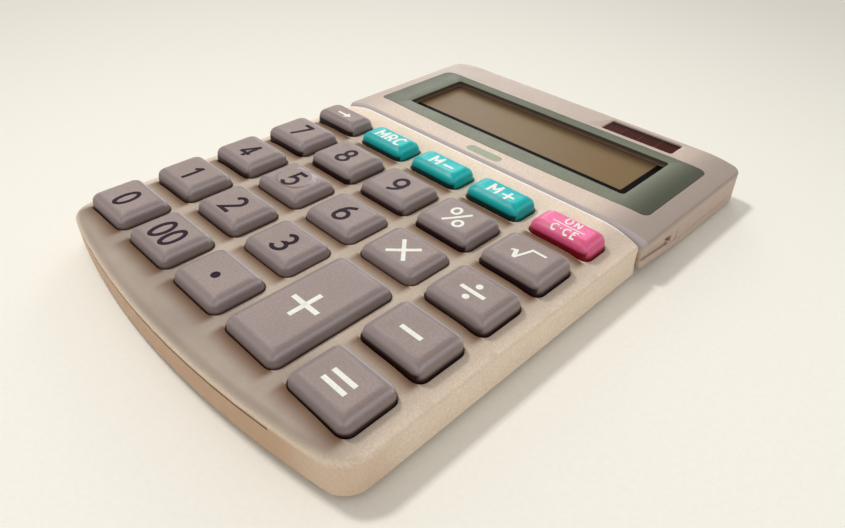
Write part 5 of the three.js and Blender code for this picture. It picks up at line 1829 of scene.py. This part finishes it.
@dataclass
class Display:
    """Bezel plate, dark surround, glass and its mask."""

    casing: Casing
    half: float = 45.8
    front: float = 28.0
    back: float = 59.1
    corner: float = 1.8
    bow: float = 1.3
    thickness: float = 0.8
    window_width: float = 74.2
    window_length: float = 22.4
    window_y: float = 44.6
    window_corner: float = 1.0
    glass_top: float = 9.0
    glass_thickness: float = 1.9
    mask_side: float = 2.9
    mask_front: float = 3.9
    frame_foot: float = 6.6

    def plate(self, name: str, grow: float, below: float, above: float) -> Piece:
        """Cambered plate over the bezel's plan.

        Args:
            name: Name of the object.
            grow: How far it is larger all round.
            below: Its depth under the head's face.
            above: Its height over the face.

        Returns:
            The object.
        """
        half, corner = self.half + grow, self.corner + grow
        rings = []
        for x in places_across(half, self.casing.head_camber_start, corner, 0.4):
            drawn = draw_in(x, half, corner)
            front = self.front - grow + self.bow * (x / half) ** 2 + drawn
            back = self.back + grow - drawn
            top = self.casing.head_top(x)
            rings.append([(x, front, top - below), (x, back, top - below),
                          (x, back, top + above), (x, front, top + above)])
        return loft(name, rings)

    def ring(self, grow: float, height: float, corner: float) -> Ring:
        """Level ring that is larger than the window all round."""
        return level(rounded_box((0, self.window_y), self.window_width + 2 * grow,
                                 self.window_length + 2 * grow, corner), height)

    def recess(self) -> Piece:
        """Cutter of the bezel's recess."""
        return self.plate("recess", 0.12, self.thickness + 0.2, 1.0)

    def window_cutter(self, grow: float, bottom: float, top: float) -> Piece:
        """Cutter of the window."""
        return loft("window", [self.ring(grow, z, self.window_corner) for z in (bottom, top)])

    def frame_pocket(self) -> Piece:
        """Cutter of the space that the display frame stands in."""
        return prism_up("pocket", rounded_box((0, self.window_y), self.window_width + 4.6,
                                              self.window_length + 5.4, 1.0), self.frame_foot, 9.2)

    def bezel(self) -> Piece:
        """Makes the bezel with a small break along the window's edge.

        Returns:
            The bezel.
        """
        piece = self.plate("bezel_trim", 0.0, self.thickness, 0.0)
        edge = ((-2, 0.0), (-0.2, 0.0), (-0.06, 0.05), (0, 0.16), (1, 0.3))
        carve(piece, [loft("window", [self.ring(grow, self.casing.face + height, self.window_corner + grow)
                                      for height, grow in edge])])
        smooth(piece)
        return piece

    def surround(self) -> Piece:
        """Makes the dark frame whose sloped walls line the window down to the glass.

        Returns:
            The frame.
        """
        face, foot, seat = self.casing.face, self.frame_foot, self.glass_top + 0.06
        section = ((-0.4, seat + 0.06), (-0.06, face - 0.16), (-0.02, face - 0.2), (-0.02, seat),
                   (2.0, seat), (2.0, foot), (1.0, foot), (1.0, seat + 0.06))
        made = bmesh.new()
        rows = [[made.verts.new(point) for point in self.ring(grow, z, max(0.4, self.window_corner + grow))]
                for grow, z in section]
        for row, following in zip(rows, rows[1:] + rows[:1]):
            for j in range(len(row)):
                k = (j + 1) % len(row)
                made.faces.new((row[j], row[k], following[k], following[j]))
        piece = closed_mesh("display_surround", made)
        smooth(piece)
        return piece

    def glass(self) -> Piece:
        """Makes the glass block with a broken upper edge.

        Returns:
            The glass.
        """
        top = self.glass_top
        piece = loft("display_glass_block", [self.ring(grow, z, 0.6) for grow, z in (
            (0.7, top - self.glass_thickness), (0.7, top - 0.15), (0.55, top))])
        smooth(piece)
        return piece

    def mask(self) -> Piece:
        """Makes the black mask on the glass along its front and right edges.

        Returns:
            The mask.
        """
        half_x, half_y = self.window_width / 2, self.window_length / 2
        left, right = -half_x - 0.5, half_x + 0.5
        front, back = self.window_y - half_y - 0.5, self.window_y + half_y + 0.5
        inner_x, inner_y = half_x - self.mask_side, self.window_y - half_y + self.mask_front
        outline = [(left, front), (right, front), (right, back), (inner_x, back),
                   *arc((inner_x - 0.5, inner_y + 0.5), 0.5, 0, -90, 6), (left, inner_y)]
        return prism_up("display_mask", outline, self.glass_top - 0.02, self.glass_top + 0.05)


@dataclass
class SolarWindow:
    """Solar cell behind its window, with the thin lines between its strips."""

    casing: Casing
    x: float = 23.85
    y: float = 64.1
    width: float = 21.9
    length: float = 6.6
    corner: float = 0.7
    plate_width: float = 23.7
    plate_foot: float = 7.4
    cell_top: float = 8.5
    cover_top: float = 10.25
    cover_gap: float = 0.08
    cell_front: float = 59.9
    cell_back: float = 67.6

    def ring(self, grow: float, height: float, corner: float) -> Ring:
        """Level ring that is larger than the window all round."""
        return level(rounded_box((self.x, self.y), self.width + 2 * grow, self.length + 2 * grow, corner), height)

    def cutter(self) -> Piece:
        """Cutter of the window with a rounded upper edge."""
        edge = ((-3.2, 0.0), (-0.25, 0.0), (-0.08, 0.06), (0.0, 0.2), (1.0, 0.3))
        return loft("solar_window", [self.ring(grow, self.casing.face + z, self.corner + grow) for z, grow in edge])

    def cell(self) -> Piece:
        """Makes the cell plate with its clear cover, which fills the window.

        Returns:
            The cell.
        """
        middle, depth = (self.cell_front + self.cell_back) / 2, self.cell_back - self.cell_front
        plate = rounded_box((self.x, middle), self.plate_width, depth, 1.0)
        cover = ((self.cell_top, 0.0, 0.7), (self.cover_top - 0.1, 0.0, 0.7), (self.cover_top, 0.1, 0.6))
        piece = loft("solar_cell_plate", [
            level(plate, self.plate_foot), level(plate, self.cell_top),
            *[self.ring(-self.cover_gap - inset, z, corner) for z, inset, corner in cover],
        ])
        smooth(piece)
        return piece


# Repeated small parts, made by node trees

class PartTree(Nodes):
    """A node tree that puts one small part on each of its points."""

    def __init__(self, name: str, sizes: dict[str, float]) -> None:
        """Starts the tree.

        Args:
            name: Name of the tree.
            sizes: Its named inputs with their values, in millimetres.
        """
        super().__init__(bpy.data.node_groups.new(name, "GeometryNodeTree"))
        self.sizes = sizes
        for socket, kind in (("Points", "Geometry"), *[(size, "Float") for size in sizes], ("Finish", "Material")):
            self.tree.interface.new_socket(socket, in_out="INPUT", socket_type=f"NodeSocket{kind}")
        self.tree.interface.new_socket("Parts", in_out="OUTPUT", socket_type="NodeSocketGeometry")
        self.inputs = self.node("NodeGroupInput").outputs
        self.output = self.node("NodeGroupOutput")

    def measures(self) -> list[Socket]:
        """Sockets of all the named sizes, in their order."""
        return [self.inputs[size] for size in self.sizes]

    def drum(self, upper: Value, lower: Value, depth: Value, foot: Value, sides: int = 40) -> Socket:
        """A cone or drum about the upright axis.

        Args:
            upper: Its upper radius.
            lower: Its lower radius.
            depth: Its height.
            foot: Height of its lower end.
            sides: Number of its sides.

        Returns:
            The socket of its mesh.
        """
        values = {"Vertices": sides, "Radius Top": upper, "Radius Bottom": lower, "Depth": depth}
        cone = self.node("GeometryNodeMeshCone", values).outputs["Mesh"]
        shift = self.node("ShaderNodeCombineXYZ", {2: foot}).outputs[0]
        return self.node("GeometryNodeTransform", {"Geometry": cone, "Translation": shift}).outputs[0]

    def cube(self, *sides: Value) -> Socket:
        """Socket of a box about the point, of a width, a length and a height."""
        size = self.node("ShaderNodeCombineXYZ", dict(enumerate(sides))).outputs[0]
        return self.node("GeometryNodeMeshCube", {"Size": size}).outputs["Mesh"]

    def boolean(self, operation: str, others: list[Socket], first: dict | None = None) -> Socket:
        """Puts solids together.

        Args:
            operation: UNION or DIFFERENCE.
            others: Sockets of the solids to unite or to cut away.
            first: Socket of the solid to cut, under the name of its input.

        Returns:
            The socket of the new solid.
        """
        made = self.node("GeometryNodeMeshBoolean", first, operation=operation, solver="EXACT")
        for mesh in others:
            self.join(mesh, made.inputs["Mesh 2"])
        return made.outputs["Mesh"]

    def finish(self, part: Socket) -> "PartTree":
        """Puts the part on every point, makes it real and gives it its finish.

        Args:
            part: Socket of the part's mesh.

        Returns:
            The finished tree.
        """
        copies = self.node("GeometryNodeInstanceOnPoints", {"Points": self.inputs["Points"], "Instance": part})
        real = self.node("GeometryNodeRealizeInstances", {0: copies.outputs[0]})
        values = {"Geometry": real.outputs[0], "Material": self.inputs["Finish"]}
        self.join(self.node("GeometryNodeSetMaterial", values).outputs[0], self.output.inputs[0])
        return self

    def build(self, name: str, points: list[Solid], material: Material) -> Piece:
        """Makes the parts on a list of points.

        Args:
            name: Name of the object.
            points: Where each part's foot stands, in millimetres.
            material: Their material.

        Returns:
            The object with a plain mesh.
        """
        mesh = bpy.data.meshes.new(name)
        mesh.from_pydata([tuple(value * MM for value in point) for point in points], [], [])
        piece = object_of(name, mesh)
        modifier = piece.modifiers.new(name, "NODES")
        modifier.node_group = self.tree
        values = {"Finish": material, **{size: value * MM for size, value in self.sizes.items()}}
        for item in self.tree.interface.items_tree:
            if item.name in values:
                modifier[item.identifier] = values[item.name]
        bake(piece)
        smooth(piece, 35.0)
        return piece


def screw_tree() -> PartTree:
    """Tree of small pan-head screws that point up, with a crossed recess below.

    Returns:
        The tree.
    """
    tree = PartTree("screws", {"Head Radius": 1.65, "Head Thickness": 0.8, "Shank Radius": 0.75, "Length": 4.0,
                               "Break": 0.22, "Recess Width": 0.5, "Recess Depth": 0.45})
    head, thickness, shank, length, edge, width, depth = tree.measures()
    flat = tree.calc("SUBTRACT", thickness, edge)
    solid = tree.boolean("UNION", [
        tree.drum(head, tree.calc("SUBTRACT", head, edge), edge, 0.0),
        tree.drum(head, head, flat, edge),
        tree.drum(tree.calc("SUBTRACT", shank, edge), shank, tree.calc("SUBTRACT", length, flat), flat, 20),
    ])
    reach, deep = tree.product(head, 1.3), tree.product(depth, 2.0)
    return tree.finish(tree.boolean("DIFFERENCE", [tree.cube(reach, width, deep), tree.cube(width, reach, deep)],
                                    {"Mesh 1": solid}))


def foot_tree(radius: float, height: float) -> PartTree:
    """Tree of round rubber feet with a broken lower edge.

    Args:
        radius: Radius of a foot.
        height: Its height.

    Returns:
        The tree.
    """
    tree = PartTree("feet", {"Radius": radius, "Height": height, "Break": 0.35})
    across, high, edge = tree.measures()
    return tree.finish(tree.boolean("UNION", [
        tree.drum(across, tree.calc("SUBTRACT", across, edge), edge, 0.0, 48),
        tree.drum(across, across, tree.calc("SUBTRACT", high, edge), edge, 48),
    ]))


def dome_tree() -> PartTree:
    """Tree of the rubber keypad's domes.

    Returns:
        The tree.
    """
    tree = PartTree("domes", {"Foot Radius": 3.5, "Top Radius": 2.2, "Web": 1.0, "Crown": 0.5})
    foot, top, web, crown = tree.measures()
    return tree.finish(tree.boolean("UNION", [tree.drum(top, foot, web, 0.0, 32), tree.drum(top, top, crown, web, 32)]))


def pad_tree() -> PartTree:
    """Tree of the board's carbon contact pads, each a drum with a gap cut through it.

    Returns:
        The tree.
    """
    tree = PartTree("pads", {"Radius": 2.0, "Thickness": 0.08, "Gap": 0.35})
    radius, thickness, gap = tree.measures()
    bar = tree.cube(tree.product(radius, 3.0), gap, 0.001)
    return tree.finish(tree.boolean("DIFFERENCE", [bar], {"Mesh 1": tree.drum(radius, radius, thickness, 0.0, 28)}))


def strip_tree(length: float) -> PartTree:
    """Tree of the thin lines between the solar cell's strips."""
    tree = PartTree("strips", {"Width": 0.12, "Length": length, "Thickness": 0.04})
    return tree.finish(tree.cube(*tree.measures()))


# Assemblies

CORNERS = ("front_left", "front_right", "back_left", "back_right")


def both_sides(places: tuple[Flat, ...]) -> list[Flat]:
    """Places given for the right side, each after its mirror image on the left."""
    return [(side * x, y) for x, y in places for side in (-1, 1)]


@dataclass
class KeypadBody:
    """Everything on the keypad's body but the keys. Places are for the right side."""

    casing: Casing
    grid: KeyGrid
    screws: tuple[Flat, ...] = ((14.0, -64.4), (28.5, 2.325))
    screw_foot: float = 1.4
    feet: tuple[Flat, ...] = ((37.0, -58.0), (37.0, 9.7))
    board_top: float = 4.29
    sheet: Flat = (0.7, 2.0)
    sheet_inset: Flat = (10.4, 5.0)
    sheet_shift: float = -0.05
    dome_foot: float = 0.6

    def rubber(self) -> Piece:
        """Makes the rubber keypad: a sheet with a dome under each key.

        Returns:
            The rubber keypad.
        """
        low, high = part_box("rubber_keypad")
        left, front, foot = (value / MM for value in low)
        right, back, _ = (value / MM for value in high)
        thickness, corner = self.sheet
        outline = rounded_box(((left + right) / 2, (front + back) / 2 + self.sheet_shift),
                              right - left - self.sheet_inset[0], back - front - self.sheet_inset[1], corner)
        sheet = prism_up("rubber_sheet", outline, foot, foot + thickness)
        points = [(*self.grid.centre(key), foot + self.dome_foot) for key in KEYS]
        domes = dome_tree().build("rubber_domes", points, bpy.data.materials["silicone_rubber"])
        carve(sheet, [domes], "UNION")
        smooth(sheet, 35.0)
        return sheet

    def build(self, finishes: Finishes) -> None:
        """Makes and dresses the body's pieces.

        Args:
            finishes: The object's finishes.
        """
        body = "keypad_body"
        dress(KeypadHousing(self.casing, self.grid).build(), finishes, body, "body_plastic", "keypad_cover")
        points = [(x, y, self.screw_foot) for x, y in both_sides(self.screws)]
        dress(screw_tree().build("body_screws", points, finishes["steel"]), finishes, body, "steel",
              *[f"base_screw_{corner}" for corner in CORNERS])
        points = [(x, y, 0.0) for x, y in both_sides(self.feet)]
        dress(foot_tree(4.0, 1.9).build("body_feet", points, finishes["foot_rubber"]), finishes, body, "foot_rubber",
              *[f"body_foot_{corner}" for corner in CORNERS])
        points = [(*self.grid.centre(key), self.board_top) for key in KEYS]
        dress(pad_tree().build("contact_pads", points, finishes["black_plastic"]), finishes, body, "black_plastic")
        dress(self.rubber(), finishes, body, "soft_rubber", "rubber_keypad")


@dataclass
class DisplayHead:
    """Everything on the display head's body."""

    casing: Casing
    badge_place: Flat = (0.3, 24.4)
    badge_width: float = 11.4
    badge_length: float = 2.9
    strips: int = 4

    def badge(self) -> Piece:
        """Makes the bare painted oval on the head's front strip."""
        outline = rounded_box(self.badge_place, self.badge_width, self.badge_length, self.badge_length / 2, 14)
        return prism_up("oval_badge", outline, self.casing.face - 0.2, self.casing.face + 0.02)

    def lines(self, solar: SolarWindow, material: Material) -> Piece:
        """Makes the thin lines between the solar cell's strips.

        Args:
            solar: The solar window.
            material: Their material.

        Returns:
            The lines.
        """
        pitch = solar.width / self.strips
        left = solar.x - solar.width / 2
        points = [(left + pitch * i, solar.y, solar.cover_top + 0.01) for i in range(1, self.strips)]
        return strip_tree(solar.length - 0.5).build("cell_lines", points, material)

    def build(self, finishes: Finishes) -> None:
        """Makes and dresses the head's pieces.

        Args:
            finishes: The object's finishes.
        """
        body = "display_head"
        shells, display, solar = HeadShells(self.casing), Display(self.casing), SolarWindow(self.casing)
        dress(shells.build_front(display, solar), finishes, body, "head_plastic", "head_front_shell")
        dress(shells.build_rear(), finishes, body, "head_plastic", "head_rear_shell")
        dress(display.bezel(), finishes, body, "bezel_plastic", "display_bezel")
        dress(display.surround(), finishes, body, "black_plastic", "display_frame", finish="frame_plastic")
        dress(display.glass(), finishes, body, "display_glass", "display_panel")
        dress(display.mask(), finishes, body, "black_plastic", finish="mask_paint")
        dress(solar.cell(), finishes, body, "solar_glass", "solar_cell")
        dress(self.lines(solar, finishes["frame_plastic"]), finishes, body, "black_plastic", finish="frame_plastic")
        dress(self.badge(), finishes, body, "bezel_plastic", finish="badge_paint")
        points = [(x, y, self.casing.ramp(y)) for x, y in both_sides(shells.screws)]
        dress(screw_tree().build("head_screws", points, finishes["steel"]), finishes, body, "steel",
              *[f"head_screw_{corner}" for corner in CORNERS])
        points = [(x, y, 0.0) for x, y in both_sides((shells.foot,))]
        dress(foot_tree(3.6, 1.2).build("head_feet", points, finishes["foot_rubber"]), finishes, body, "foot_rubber",
              "head_foot_left", "head_foot_right")


def finish_nodes(finishes: Finishes) -> None:
    """Gives every CAD node that still shows the finish of its slot in the record.

    Args:
        finishes: The object's finishes.
    """
    slots = {entry["node"]: entry["material_slot"] for entry in frame["record"]["subparts"]}
    for name, node in frame["nodes"].items():
        node.data.materials.clear()
        node.data.materials.append(finishes[slots[name]])
    LOG.info("nodes finished: %d", len(slots))


# Studio

@dataclass(frozen=True)
class Lamp:
    """A square soft lamp that faces the object."""

    name: str
    place: Solid
    size: float
    watts: float
    colour: Rgb

    def build(self) -> None:
        """Puts the lamp into the scene."""
        data = bpy.data.lights.new(self.name, "AREA")
        data.shape = "SQUARE"
        data.size, data.energy, data.color = self.size, self.watts, self.colour
        holder = bpy.data.objects.new(self.name, data)
        bpy.context.scene.collection.objects.link(holder)
        holder.location = self.place
        holder.rotation_euler = (-Vector(self.place)).to_track_quat("-Z", "Y").to_euler()


@dataclass
class Studio:
    """Table, lamps, world and camera. The camera stands where the photograph was taken."""

    focal: float = 27.863
    eye: Solid = (0.09802, -0.09701, 0.09351)
    right: Solid = (0.7031, 0.7109, 0.0162)
    up: Solid = (-0.4451, 0.4223, 0.7896)
    back: Solid = (0.5545, -0.5624, 0.6134)
    bright_side: Solid = (-0.62, 0.7, 0.35)
    darkest: float = 0.44
    brightest: float = 0.62
    world_colour: Rgb = (1.0, 0.985, 0.965)
    lamps: tuple[Lamp, ...] = (
        Lamp("key_lamp", (-0.6, -0.08, 0.97), 0.14, 5.7, (1.0, 0.99, 0.97)),
        Lamp("window_lamp", (-0.85, 1.0, 0.4), 0.5, 3.5, (0.93, 0.96, 1.0)),
        Lamp("fill_lamp", (1.0, -0.35, 0.3), 0.8, 1.2, (1.0, 0.93, 0.82)),
    )

    def camera(self) -> None:
        """Sets the camera at the photograph's place and angle."""
        data = bpy.data.cameras.new("camera")
        data.lens = self.focal
        data.sensor_width = 36.0
        data.clip_start = 0.005
        holder = bpy.data.objects.new("camera", data)
        bpy.context.scene.collection.objects.link(holder)
        turn = Matrix((self.right, self.up, self.back)).transposed().to_4x4()
        holder.matrix_world = Matrix.Translation(Vector(self.eye)) @ turn
        bpy.context.scene.camera = holder

    def world(self) -> None:
        """Sets an even light from all round and a pale background."""
        world = bpy.data.worlds.new("studio")
        bpy.context.scene.world = world
        world.use_nodes = True
        nodes = Nodes(world.node_tree)
        place = nodes.node("ShaderNodeTexCoord").outputs["Object"]
        toward = nodes.node("ShaderNodeVectorMath", {0: place, 1: self.bright_side}, operation="DOT_PRODUCT")
        values = {0: toward.outputs["Value"], 1: -1.0, 2: 1.0, 3: self.darkest, 4: self.brightest}
        strength = nodes.node("ShaderNodeMapRange", values).outputs[0]
        fill = nodes.node("ShaderNodeBackground", {0: (*self.world_colour, 1.0), 1: strength})
        seen = nodes.node("ShaderNodeBackground", {0: (*BACKGROUND, 1.0), 1: 1.0})
        path = nodes.node("ShaderNodeLightPath").outputs
        either = nodes.calc("MAXIMUM", path["Is Camera Ray"], path["Is Glossy Ray"])
        mixed = nodes.node("ShaderNodeMixShader", {0: either, 1: fill.outputs[0], 2: seen.outputs[0]})
        nodes.node("ShaderNodeOutputWorld", {0: mixed.outputs[0]})

    def table(self, finishes: Finishes) -> None:
        """Lays the table top under the object.

        Args:
            finishes: The object's finishes.
        """
        made = bmesh.new()
        bmesh.ops.create_grid(made, x_segments=8, y_segments=8, size=2500.0)
        floor = closed_mesh("table_top", made)
        floor.data.materials.append(finishes["table"])

    def build(self, finishes: Finishes) -> None:
        """Sets up the whole studio.

        Args:
            finishes: The object's finishes.
        """
        self.camera()
        self.world()
        self.table(finishes)
        for lamp in self.lamps:
            lamp.build()
        bpy.context.scene.view_settings.view_transform = "Standard"


def main() -> None:
    """Builds the whole scene."""
    logging.basicConfig(level=logging.INFO, format="%(message)s")
    casing = Casing()
    grid = KeyGrid()
    finishes = Finishes()
    finish_nodes(finishes)
    Studio().build(finishes)
    KeypadBody(casing, grid).build(finishes)
    Keyboard(casing, grid).build(finishes)
    DisplayHead(casing).build(finishes)


if __name__ == "__main__":
    main()
